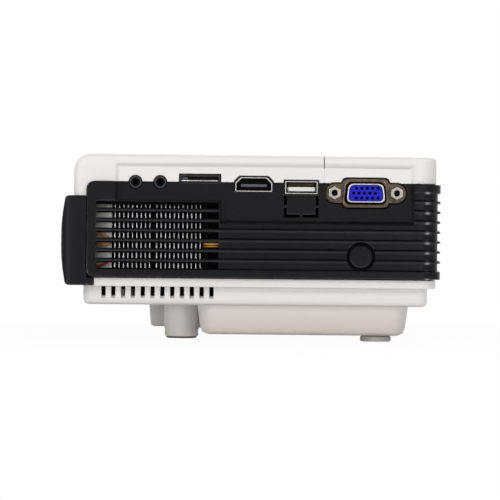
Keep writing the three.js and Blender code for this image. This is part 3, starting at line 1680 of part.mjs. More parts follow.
// The power supply board, with its transformer and its two capacitors.
function powerBoard() {
  const z = trayBottomZ + floorThickness + supplyRise;
  const topOfBoard = z + supplyThickness;
  const board = block([supplyFront, supplyRear], [supplyNearY, supplyFarY], [z, topOfBoard]);
  const midX = (supplyFront + supplyRear) / 2;
  const midY = (supplyNearY + supplyFarY) / 2;
  const half = transformerSize / 2;
  const transformer = block(
    [midX - half, midX + half],
    [midY - half, midY + half],
    [z, topOfBoard + transformerSize],
  );
  const capacitorYs = [
    supplyNearY + capacitorInset + capacitorRadius,
    supplyFarY - capacitorInset - capacitorRadius,
  ];
  const capacitors = capacitorYs.map((y) => rod(
    'z', [midX, y], capacitorRadius, z, topOfBoard + capacitorHeight, smallSides,
  ));
  return joined([board, transformer, ...capacitors]);
}

// A soft lead that runs smoothly through its points.
function lead(points) {
  const path = new THREE.CatmullRomCurve3(points.map(([x, y, z]) => new THREE.Vector3(x, y, z)));
  const section = new THREE.Shape();
  for (let side = 0; side < leadSides; side += 1) {
    const angle = (side / leadSides) * fullTurn;
    const place = [leadRadius * Math.cos(angle), leadRadius * Math.sin(angle)];
    if (side === 0) {
      section.moveTo(...place);
    } else {
      section.lineTo(...place);
    }
  }
  section.closePath();
  const options = { extrudePath: path, steps: leadSteps, bevelEnabled: false };
  return toSolid(new THREE.ExtrudeGeometry(section, options));
}

// Lead routes round the bracket, in shares of its width, of the fins' depth and of its height over the lens
const ledLeadY = finBackY + gap + ledPlateThickness / 2;
const leadNearY = finNearY - leadRadius;
const leadStartX = engineX - ledPlateHalf - gap;
const leadTopZ = boardZ - leadRadius - gap;
const orangeStartShares = [1, 0.335];
const orangeRouteShares = [
  [0.881, 1, 0.279],
  [-0.006, 0.817, 0.223],
  [-0.125, 0.53, 0.168],
  [-0.125, 0.072, 0.14],
  [0.238, 0, 0.168],
  [0.762, 0, 0.056],
  [0.357, -0.036, -0.084],
  [0.119, -0.054, 0.335],
  [0.357, 0, 0.782],
];
const orangeEndShares = [0.476, 0.072];
const redStartShares = [1, -0.447];
const redRouteShares = [
  [0.881, 1, -0.475],
  [-0.006, 0.817, -0.503],
  [-0.125, 0.53, -0.531],
  [-0.125, 0.072, -0.559],
  [0.238, 0, -0.587],
  [0.821, -0.036, -0.48],
  [0.881, -0.09, -0.223],
  [0.881, -0.09, 0.782],
];
const redEndShares = [1, 0];

// The points of a lead: out of the LED, round the bracket and up to the board.
function leadRoute([startYShare, startZShare], shares, [endXShare, endYShare]) {
  const placeX = (share) => bracketLeft + bracketWidth * share;
  const placeY = (share) => leadNearY + (ledLeadY - leadNearY) * share;
  const placeZ = (share) => lensZ + (bracketTopZ - lensZ) * share;
  return [
    [leadStartX, placeY(startYShare), placeZ(startZShare)],
    ...shares.map(([xShare, yShare, zShare]) => [placeX(xShare), placeY(yShare), placeZ(zShare)]),
    [placeX(endXShare), placeY(endYShare), leadTopZ],
  ];
}

const white = [0xe6e3df, 0.42, 0];
const black = [0x2a2a2d, 0.5, 0];
const darkPlastic = [0x1b1b1d, 0.5, 0];
const steel = [0xb9b9b6, 0.3, 0.9];
const brightSteel = [0xd8d8d4, 0.22, 1];
const tin = [0x8d7f70, 0.4, 0.8];
const aluminium = [0xa9abad, 0.35, 0.9];
const glass = [0xdfe8f2, 0.05, 0];
const circuit = [0x1c4a2c, 0.5, 0];
const keyGrey = [0x4a4b50, 0.5, 0];

addPiece('bottom_shell', bottomShell(), ...white);
addPiece('top_cover', topCover(), ...white);
addPiece('control_deck', controlDeck(), ...white);
addPiece('side_band', sideBand(), ...black);
addPiece('front_bezel', frontBezel(), ...black);
addPiece('ir_window', irWindow(), 0x180a10, 0.12, 0);

addPiece('lens_housing', lensHousing(), ...darkPlastic);
addPiece('focus_ring', focusRing(), ...black);
addPiece('lens_cell', lensCell(), ...darkPlastic);
addPiece('front_element', frontElement(), ...glass);

addPiece('engine_housing', engineHousing(), ...darkPlastic);
addPiece('engine_lid', engineLid(), ...darkPlastic);
addPiece('condenser_lens', condenserLens(), ...glass);
addPiece('fresnel_lens', fresnelLens(), ...glass);
addPiece('lcd_panel', lcdPanel(), 0x20242c, 0.2, 0);
addPiece('fold_mirror', foldMirror(), 0xdfe3e6, 0.05, 1);
addPiece('led_module', ledModule(), 0xe9e2b0, 0.4, 0);
addPiece('heatsink', heatsink(), ...aluminium);
addPiece('heatsink_bracket', heatsinkBracket(), ...steel);
addPiece('fan_frame', fanFrame(), ...darkPlastic);
addPiece('fan_rotor', fanRotor(), ...darkPlastic);

addPiece('main_board', mainBoard(), ...circuit);
for (const name of jackNames) {
  addPiece(name, jack(socketX[name]), ...darkPlastic);
}
addPiece('card_slot', cardSlot(), ...steel);
addPiece('hdmi_socket', hdmiSocket(), ...brightSteel);
addPiece('hdmi_tongue', hdmiTongue(), ...darkPlastic);
addPiece('usb_socket', usbSocket(), ...brightSteel);
addPiece('usb_tongue', usbTongue(), 0xf2f1ec, 0.4, 0);
addPiece('vga_bracket', vgaBracket(), ...tin);
addPiece('vga_shell', vgaShell(), ...brightSteel);
addPiece('vga_insert', vgaInsert(), 0x1c34d8, 0.45, 0);
addPiece('vga_jackscrew_front', vgaJackscrew(-1), ...brightSteel);
addPiece('vga_jackscrew_rear', vgaJackscrew(1), ...brightSteel);
addPiece('power_button', sideButton(), ...black);
addPiece('power_inlet', powerInlet(), ...darkPlastic);
addPiece('speaker', speaker(), ...darkPlastic);
addPiece('power_board', powerBoard(), ...circuit);
const orangeRoute = leadRoute(orangeStartShares, orangeRouteShares, orangeEndShares);
const redRoute = leadRoute(redStartShares, redRouteShares, redEndShares);
addPiece('led_lead_orange', lead(orangeRoute), 0xd9701c, 0.45, 0);
addPiece('led_lead_red', lead(redRoute), 0x8c1d1d, 0.45, 0);

addPiece('key_board', keyBoard(), ...circuit);
for (const name of keyNames) {
  addPiece(name, key(name), ...keyGrey);
}

for (const [name, side] of sides) {
  addPiece(`foot_stud_${name}`, footStud(side), ...steel);
  addPiece(`foot_knob_${name}`, footKnob(side), ...white);
  addPiece(`rear_foot_${name}`, rearFoot(side), ...white);
  for (const [x, y, end, floorZ] of screwPlaces) {
    addPiece(`case_screw_${end}_${name}`, caseScrew(x, side * y, floorZ), ...steel);
  }
}

export default projector;
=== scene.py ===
# The looks of a mini projector: rounded mouldings, plated sockets, drawn metal and soft leads, on a pale floor.
import json
import math

import bmesh
import bpy
from mathutils import Matrix, Vector


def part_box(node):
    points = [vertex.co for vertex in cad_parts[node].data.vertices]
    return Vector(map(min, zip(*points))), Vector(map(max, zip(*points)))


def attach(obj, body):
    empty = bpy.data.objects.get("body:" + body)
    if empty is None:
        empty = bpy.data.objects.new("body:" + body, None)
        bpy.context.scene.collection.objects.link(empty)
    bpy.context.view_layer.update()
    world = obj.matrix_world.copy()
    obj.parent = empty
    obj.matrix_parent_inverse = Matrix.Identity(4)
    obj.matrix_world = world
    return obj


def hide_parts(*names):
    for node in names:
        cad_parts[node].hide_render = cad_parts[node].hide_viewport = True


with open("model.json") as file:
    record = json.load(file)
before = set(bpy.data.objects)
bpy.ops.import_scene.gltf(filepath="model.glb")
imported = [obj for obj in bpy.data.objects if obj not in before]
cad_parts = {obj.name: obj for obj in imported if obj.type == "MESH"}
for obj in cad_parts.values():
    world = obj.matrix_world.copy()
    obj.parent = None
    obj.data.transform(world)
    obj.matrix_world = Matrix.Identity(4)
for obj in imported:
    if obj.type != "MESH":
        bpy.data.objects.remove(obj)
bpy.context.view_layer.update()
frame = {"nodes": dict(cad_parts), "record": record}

MM = 0.001
NODES = frame["nodes"]
BODY_OF = {node: body for body, members in frame["record"]["behaviour"]["bodies"].items() for node in members}
SLOT_OF = {row["node"]: row["material_slot"] for row in frame["record"]["subparts"]}

# Light and camera
CAMERA_PLACE = (-0.0004, -1.0, 0.0368)
CAMERA_LENS = 162
CAMERA_ROLL = 0.55
AMBIENT = 0.41
FLOOR_SIZE = 8
FLOOR_NEAR_SHARE = 0.955
FLOOR_FADE_START = 0.11
FLOOR_FADE_END = 0.26
FLOOR_COLOUR = (0.8, 0.785, 0.77)
WHITE = (1, 1, 1, 1)
LAMP_TARGET = (0, 0, 0.04)
LOW_TARGET = (0, 0, 0.02)
LAMPS = (  # name, place, target, size, power
    ("key_light", (-0.4, -1.1, 0.85), LAMP_TARGET, 0.9, 3.6),
    ("front_light", (0.56, -1.43, 0.15), LAMP_TARGET, 0.45, 3.1),
    ("low_light", (-0.56, -1.43, 0.055), LOW_TARGET, 0.3, 3.1),
    ("right_glint", (0.8, -0.95, 0.6), LAMP_TARGET, 0.12, 1.2),
    ("left_glint", (-0.8, -0.95, 0.6), LAMP_TARGET, 0.12, 1.2),
    ("rear_light", (0.25, 1.0, 0.9), LAMP_TARGET, 0.8, 5.5),
)

# Sockets in the connector side, in millimetres: the face that they stand on, and their places along it and in height
PANEL_Y = -97.0
JACK_PLACES = {"av_jack": (-46.6, 63.7), "headphone_jack": (-36.7, 63.7)}
CARD_PLACE = (-20.7, 65.2)
HDMI_PLACE = (0.9, 63.1)
USB_PLACE = (20.0, 62.05)
VGA_PLACE = (45.8, 60.0)
VGA_SCREW_SHIFT = 12.495
PIN_PITCH = 2.29
PIN_ROW_PITCH = 1.98
PIN_ROW_SHIFTS = (0.57, -0.57, 0.57)
INSERT_WIDTH_SHARE = 0.95

# The cover's seam and recess, the air slots and the black strips behind them that paint their shadow, the keys, the
# lens, the feet and the leads, in millimetres
SEAM_X = 29.1
RECESS_FACE_Y = -97.9
RECESS_TOP_Z = (70.9, 71.5)
BOSS_FOOT_Z = 3.9
SLOT_TOPS = (31.74, 35.76, 39.78, 43.80, 47.82, 51.84, 55.86)
SLOT_RUN = (-63.6, -13.4)
CROSSED_SLOT_END = -21.0
STRIP_RISE = 0.5
STRIP_DROP = 0.5
TOP_STRIP_DROP = 1.15
PAD_X = 52.0
PAD_REACH = 13
PAD_UPPER_Z = 74.5
POWER_Y, SOURCE_Y, MENU_Y, BACK_Y = -50, -34, 34, 50
KEY_TOP_DROP = 0.07
MARK_THICKNESS = 0.1
MARK_SINK = 0.125
STROKE = 0.42
LENS_AXIS = (46.0, 40.1)
FOOT_X = -28.6
FOOT_REACH = 63.0
LAMP_LEAD_RADIUS = 0.5
FAN_LEAD_RADIUS = 0.36

# Where a tone changes, in metres on Object coordinates
# Painted highlight down the band's rear corner
CORNER_GLINT = {"Place": 0.0706, "Width": 0.0014}
# Painted highlight along the band's front edge
FRONT_EDGE_HIGHLIGHT = {"Place": -0.0655, "Width": 0.0009}
# Painted shade: the long sides darken toward the bottom
LOW_SIDE_SHADE = {"Start": 0.018, "End": 0.002, "Side": 0.082}
# Painted shade on the metal toward the top of the air slots
TOP_SHADE_SPAN = {"Start": 0.0525, "End": 0.0565}
# The fins' front ends; behind them the metal is painted dark as shade
FIN_ENDS = {"Place": -0.08998}


# ---- shader groups ----

def new_group(name, inputs, outputs):
    """An empty node group with its inputs and outputs, and the two nodes that stand for them."""
    group = bpy.data.node_groups.new(name, "ShaderNodeTree")
    for label, kind, value in inputs:
        socket = group.interface.new_socket(label, in_out="INPUT", socket_type=kind)
        socket.default_value = value
    for label, kind in outputs:
        group.interface.new_socket(label, in_out="OUTPUT", socket_type=kind)
    return group, group.nodes.new("NodeGroupInput"), group.nodes.new("NodeGroupOutput")


def math_node(tree, operation, first, second=None, clamp=False):
    """A math node; each side is a socket or a number."""
    node = tree.nodes.new("ShaderNodeMath")
    node.operation = operation
    node.use_clamp = clamp
    for place, value in enumerate((first, second)):
        if value is None:
            continue
        if isinstance(value, (int, float)):
            node.inputs[place].default_value = value
        else:
            tree.links.new(value, node.inputs[place])
    return node.outputs[0]


def mix_colour(tree, factor, first, second):
    """A colour mix; each side is a socket or a colour."""
    node = tree.nodes.new("ShaderNodeMix")
    node.data_type = "RGBA"
    for socket, value in ((node.inputs["Factor"], factor), (node.inputs["A"], first), (node.inputs["B"], second)):
        if isinstance(value, (int, float, tuple)):
            socket.default_value = value
        else:
            tree.links.new(value, socket)
    return node.outputs["Result"]


def object_noise(tree, scale, detail, stretch=(1, 1, 1), roughness=0.5):
    """Noise on object coordinates, stretched along the axes. Scale is a socket or a number."""
    coordinates = tree.nodes.new("ShaderNodeTexCoord")
    mapping = tree.nodes.new("ShaderNodeMapping")
    mapping.inputs["Scale"].default_value = stretch
    noise = tree.nodes.new("ShaderNodeTexNoise")
    noise.inputs["Detail"].default_value = detail
    noise.inputs["Roughness"].default_value = roughness
    tree.links.new(coordinates.outputs["Object"], mapping.inputs["Vector"])
    tree.links.new(mapping.outputs["Vector"], noise.inputs["Vector"])
    if isinstance(scale, (int, float)):
        noise.inputs["Scale"].default_value = scale
    else:
        tree.links.new(scale, noise.inputs["Scale"])
    return noise.outputs["Fac"]


def object_axes(tree):
    """Object coordinates, split into X, Y and Z."""
    coordinates = tree.nodes.new("ShaderNodeTexCoord")
    split = tree.nodes.new("ShaderNodeSeparateXYZ")
    tree.links.new(coordinates.outputs["Object"], split.inputs["Vector"])
    return split.outputs


def upward_share(tree, normal):
    """How far a normal looks up: 1 straight up, -1 straight down."""
    split = tree.nodes.new("ShaderNodeSeparateXYZ")
    tree.links.new(normal, split.inputs["Vector"])
    return split.outputs["Z"]


def softened_normal(tree, radius, samples=6):
    """The normal with every edge rounded by a radius, which is a socket."""
    rounded = tree.nodes.new("ShaderNodeBevel")
    rounded.samples = samples
    tree.links.new(radius, rounded.inputs["Radius"])
    return rounded.outputs["Normal"]


def wander(tree, middle, wave, spread):
    """A value that wanders round its middle with a wave from 0 to 1."""
    swing = math_node(tree, "MULTIPLY", math_node(tree, "SUBTRACT", wave, 0.5), spread)
    return math_node(tree, "ADD", middle, swing, clamp=True)


def make_grain_group():
    """Spark-eroded moulding grain: a fine height and a roughness that wanders round its middle value."""
    broad_scale, fine_share, broad_share = 55, 0.4, 0.6
    group, given, made = new_group(
        "moulding_grain",
        [("Scale", "NodeSocketFloat", 2600), ("Roughness", "NodeSocketFloat", 0.5), ("Spread", "NodeSocketFloat", 0.1)],
        [("Roughness", "NodeSocketFloat"), ("Height", "NodeSocketFloat")],
    )
    fine = object_noise(group, given.outputs["Scale"], 3)
    broad = object_noise(group, broad_scale, 4)
    blended = math_node(
        group, "ADD", math_node(group, "MULTIPLY", fine, fine_share), math_node(group, "MULTIPLY", broad, broad_share))
    gloss = wander(group, given.outputs["Roughness"], blended, given.outputs["Spread"])
    group.links.new(gloss, made.inputs["Roughness"])
    group.links.new(fine, made.inputs["Height"])
    return group


def make_drift_group():
    """A slow drift between two close tones, as real mouldings and castings have."""
    group, given, made = new_group(
        "tone_drift",
        [("Color", "NodeSocketColor", (0.8, 0.8, 0.8, 1)), ("Drift", "NodeSocketColor", (0.7, 0.7, 0.7, 1)),
         ("Scale", "NodeSocketFloat", 22), ("Amount", "NodeSocketFloat", 0.5)],
        [("Color", "NodeSocketColor")],
    )
    cloud = object_noise(group, given.outputs["Scale"], 5, roughness=0.6)
    share = math_node(group, "MULTIPLY", cloud, given.outputs["Amount"], clamp=True)
    group.links.new(
        mix_colour(group, share, given.outputs["Color"], given.outputs["Drift"]), made.inputs["Color"])
    return group


def make_facing_group():
    """Masks of the softened edges that look up and of those that look down at the table, where shade and a reflection
    of the table are painted.
    """
    up_gain, down_gain = 1.6, -4.0
    group, given, made = new_group(
        "edge_facing", [("Radius", "NodeSocketFloat", 0.0009)],
        [("Upward", "NodeSocketFloat"), ("Downward", "NodeSocketFloat")])
    height = upward_share(group, softened_normal(group, given.outputs["Radius"]))
    group.links.new(math_node(group, "MULTIPLY", height, up_gain, clamp=True), made.inputs["Upward"])
    group.links.new(math_node(group, "MULTIPLY", height, down_gain, clamp=True), made.inputs["Downward"])
    return group


def make_wear_and_highlight_group():
    """A mask of edges lightened both as wear and as painted highlight: where the rounded normal leaves the flat one,
    broken up by noise.
    """
    edge_gain, patch_scale, patch_floor, patch_gain = 6, 320, 0.35, 2.2
    group, given, made = new_group(
        "edge_wear_and_highlight",
        [("Width", "NodeSocketFloat", 0.0005), ("Strength", "NodeSocketFloat", 1.0)],
        [("Mask", "NodeSocketFloat")],
    )
    geometry = group.nodes.new("ShaderNodeNewGeometry")
    dot = group.nodes.new("ShaderNodeVectorMath")
    dot.operation = "DOT_PRODUCT"
    group.links.new(softened_normal(group, given.outputs["Width"], samples=4), dot.inputs[0])
    group.links.new(geometry.outputs["Normal"], dot.inputs[1])
    turn = math_node(group, "MULTIPLY", math_node(group, "SUBTRACT", 1.0, dot.outputs["Value"]), edge_gain)
    cloud = math_node(group, "SUBTRACT", object_noise(group, patch_scale, 4), patch_floor)
    handled = math_node(group, "MULTIPLY", turn, math_node(group, "MULTIPLY", cloud, patch_gain, clamp=True))
    mask = math_node(group, "MULTIPLY", handled, given.outputs["Strength"], clamp=True)
    group.links.new(mask, made.inputs["Mask"])
    return group


def make_drawn_group():
    """Drawn or brushed metal: fine lines along one axis, as a height and a roughness."""
    group, given, made = new_group(
        "drawn_lines",
        [("Scale", "NodeSocketFloat", 900), ("Roughness", "NodeSocketFloat", 0.3), ("Spread", "NodeSocketFloat", 0.25)],
        [("Roughness", "NodeSocketFloat"), ("Height", "NodeSocketFloat")],
    )
    lines = object_noise(group, given.outputs["Scale"], 2, stretch=(1, 1, 0.03))
    gloss = wander(group, given.outputs["Roughness"], lines, given.outputs["Spread"])
    group.links.new(gloss, made.inputs["Roughness"])
    group.links.new(lines, made.inputs["Height"])
    return group


def make_soft_edge_group():
    """A normal that turns smoothly round a sharp moulded edge."""
    group, given, made = new_group(
        "soft_edge", [("Radius", "NodeSocketFloat", 0.0003)], [("Normal", "NodeSocketVector")])
    group.links.new(softened_normal(group, given.outputs["Radius"]), made.inputs["Normal"])
    return group


def make_dust_group():
    """A mask of fine pale specks of settled dust, thicker where a face looks up."""
    speck_floor, speck_gain, upward_gain, upright_share = 0.56, 9, 0.4, 0.6
    group, given, made = new_group(
        "settled_dust",
        [("Scale", "NodeSocketFloat", 700), ("Amount", "NodeSocketFloat", 0.1)],
        [("Mask", "NodeSocketFloat")],
    )
    geometry = group.nodes.new("ShaderNodeNewGeometry")
    height = upward_share(group, geometry.outputs["Normal"])
    upward = math_node(group, "ADD", math_node(group, "MULTIPLY", height, upward_gain), upright_share, clamp=True)
    cloud = object_noise(group, given.outputs["Scale"], 6, roughness=0.7)
    specks = math_node(group, "MULTIPLY", math_node(group, "SUBTRACT", cloud, speck_floor), speck_gain, clamp=True)
    settled = math_node(group, "MULTIPLY", specks, upward)
    group.links.new(
        math_node(group, "MULTIPLY", settled, given.outputs["Amount"], clamp=True), made.inputs["Mask"])
    return group


def make_corner_line_group():
    """A mask of a narrow upright line, where a highlight is painted on the band's corner or front edge."""
    group, given, made = new_group(
        "corner_line",
        [("Place", "NodeSocketFloat", 0.0), ("Width", "NodeSocketFloat", 0.001)],
        [("Mask", "NodeSocketFloat")],
    )
    along = object_axes(group)["X"]
    off = math_node(group, "ABSOLUTE", math_node(group, "SUBTRACT", along, given.outputs["Place"]))
    share = math_node(group, "SUBTRACT", 1.0, math_node(group, "DIVIDE", off, given.outputs["Width"]), clamp=True)
    group.links.new(share, made.inputs["Mask"])
    return group


def make_height_tone_group():
    """A mask that grows, down or up, from one height to another, and starts at a distance from the middle."""
    group, given, made = new_group(
        "height_tone",
        [("Start", "NodeSocketFloat", 0.0), ("End", "NodeSocketFloat", 0.01), ("Amount", "NodeSocketFloat", 0.9),
         ("Side", "NodeSocketFloat", 0.0)],
        [("Mask", "NodeSocketFloat")],
    )
    axes = object_axes(group)
    reach = math_node(group, "SUBTRACT", given.outputs["Start"], given.outputs["End"])
    depth = math_node(group, "SUBTRACT", given.outputs["Start"], axes["Z"])
    share = math_node(group, "DIVIDE", depth, reach, clamp=True)
    outside = math_node(group, "GREATER_THAN", math_node(group, "ABSOLUTE", axes["Y"]), given.outputs["Side"])
    share = math_node(group, "MULTIPLY", share, outside)
    group.links.new(math_node(group, "MULTIPLY", share, given.outputs["Amount"], clamp=True), made.inputs["Mask"])
    return group


def make_sawn_end_group():
    """A mask of the fins' sawn ends; behind them the fins and their base are painted dark as shade."""
    group, given, made = new_group(
        "sawn_ends", [("Place", "NodeSocketFloat", 0.0)], [("Mask", "NodeSocketFloat")])
    depth = object_axes(group)["Y"]
    group.links.new(math_node(group, "LESS_THAN", depth, given.outputs["Place"]), made.inputs["Mask"])
    return group


GRAIN = make_grain_group()
DRIFT = make_drift_group()
FACING = make_facing_group()
WEAR_AND_HIGHLIGHT = make_wear_and_highlight_group()
DRAWN = make_drawn_group()
SOFT_EDGE = make_soft_edge_group()
DUST = make_dust_group()
CORNER_LINE = make_corner_line_group()
HEIGHT_TONE = make_height_tone_group()
SAWN_ENDS = make_sawn_end_group()


# ---- materials ----

def place_group(tree, group, **values):
    """A group node in a tree, with its inputs set from numbers, colours or sockets."""
    node = tree.nodes.new("ShaderNodeGroup")
    node.node_tree = group
    for label, value in values.items():
        if isinstance(value, (int, float, tuple)):
            node.inputs[label].default_value = value
        else:
            tree.links.new(value, node.inputs[label])
    return node.outputs


def new_material(name):
    """A new material, its tree and its shader."""
    material = bpy.data.materials.new(name)
    material.use_nodes = True
    return material, material.node_tree, material.node_tree.nodes["Principled BSDF"]


def bump(tree, shader, height, strength, distance, edge=0.0):
    """A bump from a height, over edges softened by a radius where one is given."""
    node = tree.nodes.new("ShaderNodeBump")
    node.inputs["Strength"].default_value = strength
    node.inputs["Distance"].default_value = distance
    tree.links.new(height, node.inputs["Height"])
    if edge > 0:
        tree.links.new(place_group(tree, SOFT_EDGE, Radius=edge)["Normal"], node.inputs["Normal"])
    tree.links.new(node.outputs["Normal"], shader.inputs["Normal"])


def plastic(
    name, colour, drift, roughness, spread=0.12, specular=0.5, grain=2600, depth=0.00002, wear_and_highlight=0.0, wear_and_highlight_tone=None,
    edge=0.0, dust=0.0, upper_edge_shade=None, corner_glint=None, low=None,
):
    """A moulded plastic: drifting tone, edges lightened as wear and as painted highlight, dust, and grain in its gloss
    and its surface.

    The upward tone is a painted shade on edges that look up, the corner tone a painted highlight on the band's corner
    and front edge, and the low tone a painted shade toward the bottom of the sides.
    """
    front_highlight_share, front_highlight_gain, dust_tone = 0.22, 2.5, (0.42, 0.41, 0.4)
    material, tree, shader = new_material(name)
    tone = place_group(tree, DRIFT, Color=(*colour, 1), Drift=(*drift, 1), Amount=0.9)["Color"]
    if wear_and_highlight > 0:
        mask = place_group(tree, WEAR_AND_HIGHLIGHT, Strength=wear_and_highlight)["Mask"]
        # Painted shade on edges that look up, and a painted reflection of the table on edges that look down, given the
        # lighter edge tone
        if upper_edge_shade:
            facing = place_group(tree, FACING)
            tone = mix_colour(tree, facing["Upward"], tone, (*upper_edge_shade, 1))
            mask = math_node(tree, "MAXIMUM", mask, facing["Downward"])
        # Edges lightened as wear and as painted highlight
        tone = mix_colour(tree, mask, tone, (*wear_and_highlight_tone, 1))
        # Painted highlights: a glint down the band's rear corner, and a bright line along its front edge
        if corner_glint:
            line = place_group(tree, CORNER_LINE, **CORNER_GLINT)["Mask"]
            tone = mix_colour(tree, math_node(tree, "MULTIPLY", mask, line, clamp=True), tone, (*corner_glint, 1))
            front_highlight = place_group(tree, CORNER_LINE, **FRONT_EDGE_HIGHLIGHT)["Mask"]
            share = math_node(tree, "MULTIPLY", math_node(tree, "MULTIPLY", mask, front_highlight), front_highlight_gain, clamp=True)
            tone = mix_colour(tree, share, tone, (*[part * front_highlight_share for part in corner_glint], 1))
    # Painted shade toward the bottom of the sides
    if low:
        tone = mix_colour(tree, place_group(tree, HEIGHT_TONE, **LOW_SIDE_SHADE)["Mask"], tone, (*low, 1))
    if dust > 0:
        mask = place_group(tree, DUST, Amount=dust)["Mask"]
        tone = mix_colour(tree, mask, tone, (*dust_tone, 1))
    tree.links.new(tone, shader.inputs["Base Color"])
    surface = place_group(tree, GRAIN, Scale=grain, Roughness=roughness, Spread=spread)
    tree.links.new(surface["Roughness"], shader.inputs["Roughness"])
    shader.inputs["Specular IOR Level"].default_value = specular
    bump(tree, shader, surface["Height"], 0.5, depth, edge)
    return material


def metal(name, colour, drift, roughness, spread=0.2, scale=900, depth=0.00001, blotch=120, top_shade=None, shade_behind_ends=None):
    """A drawn or plated metal: fine lines and a drifting tone.

    The top tone is a painted shade toward the top, under the cover, and the end tone a painted shade behind the fins'
    sawn ends.
    """
    material, tree, shader = new_material(name)
    tone = place_group(tree, DRIFT, Color=(*colour, 1), Drift=(*drift, 1), Scale=blotch, Amount=1.0)["Color"]
    # Painted shade behind the fins' front ends
    if shade_behind_ends:
        tone = mix_colour(tree, place_group(tree, SAWN_ENDS, **FIN_ENDS)["Mask"], (*shade_behind_ends, 1), tone)
    # Painted shade toward the top, under the cover
    if top_shade:
        tone = mix_colour(tree, place_group(tree, HEIGHT_TONE, **TOP_SHADE_SPAN)["Mask"], tone, (*top_shade, 1))
    tree.links.new(tone, shader.inputs["Base Color"])
    surface = place_group(tree, DRAWN, Scale=scale, Roughness=roughness, Spread=spread)
    tree.links.new(surface["Roughness"], shader.inputs["Roughness"])
    shader.inputs["Metallic"].default_value = 1.0
    bump(tree, shader, surface["Height"], 0.4, depth)
    return material


def clear(name, colour, roughness, ior, film=0.0):
    """A polished lens or cover, with a thin coating where it has one."""
    material, tree, shader = new_material(name)
    drift = [part * 0.98 for part in colour]
    tone = place_group(tree, DRIFT, Color=(*colour, 1), Drift=(*drift, 1), Amount=0.4)["Color"]
    tree.links.new(tone, shader.inputs["Base Color"])
    surface = place_group(tree, GRAIN, Scale=400, Roughness=roughness, Spread=0.02)
    tree.links.new(surface["Roughness"], shader.inputs["Roughness"])
    shader.inputs["Transmission Weight"].default_value = 1.0
    shader.inputs["IOR"].default_value = ior
    shader.inputs["Thin Film Thickness"].default_value = film
    shader.inputs["Thin Film IOR"].default_value = 1.38
    return material


def circuit(name):
    """Green solder mask over copper runs, with fine tinned dots."""
    dot_reach = 0.22
    material, tree, shader = new_material(name)
    coordinates = tree.nodes.new("ShaderNodeTexCoord")
    brick = tree.nodes.new("ShaderNodeTexBrick")
    brick.inputs["Scale"].default_value = 260
    brick.inputs["Mortar Size"].default_value = 0.05
    brick.inputs["Color1"].default_value = (0.010, 0.085, 0.030, 1)
    brick.inputs["Color2"].default_value = (0.014, 0.110, 0.040, 1)
    brick.inputs["Mortar"].default_value = (0.030, 0.190, 0.070, 1)
    dots = tree.nodes.new("ShaderNodeTexVoronoi")
    dots.inputs["Scale"].default_value = 420
    for node in (brick, dots):
        tree.links.new(coordinates.outputs["Object"], node.inputs["Vector"])
    tinned = math_node(tree, "LESS_THAN", dots.outputs["Distance"], dot_reach)
    tone = mix_colour(tree, tinned, brick.outputs["Color"], (0.55, 0.55, 0.5, 1))
    tree.links.new(tone, shader.inputs["Base Color"])
    surface = place_group(tree, GRAIN, Scale=1500, Roughness=0.35, Spread=0.2)
    tree.links.new(surface["Roughness"], shader.inputs["Roughness"])
    bump(tree, shader, brick.outputs["Fac"], 0.3, 0.00003)
    return material


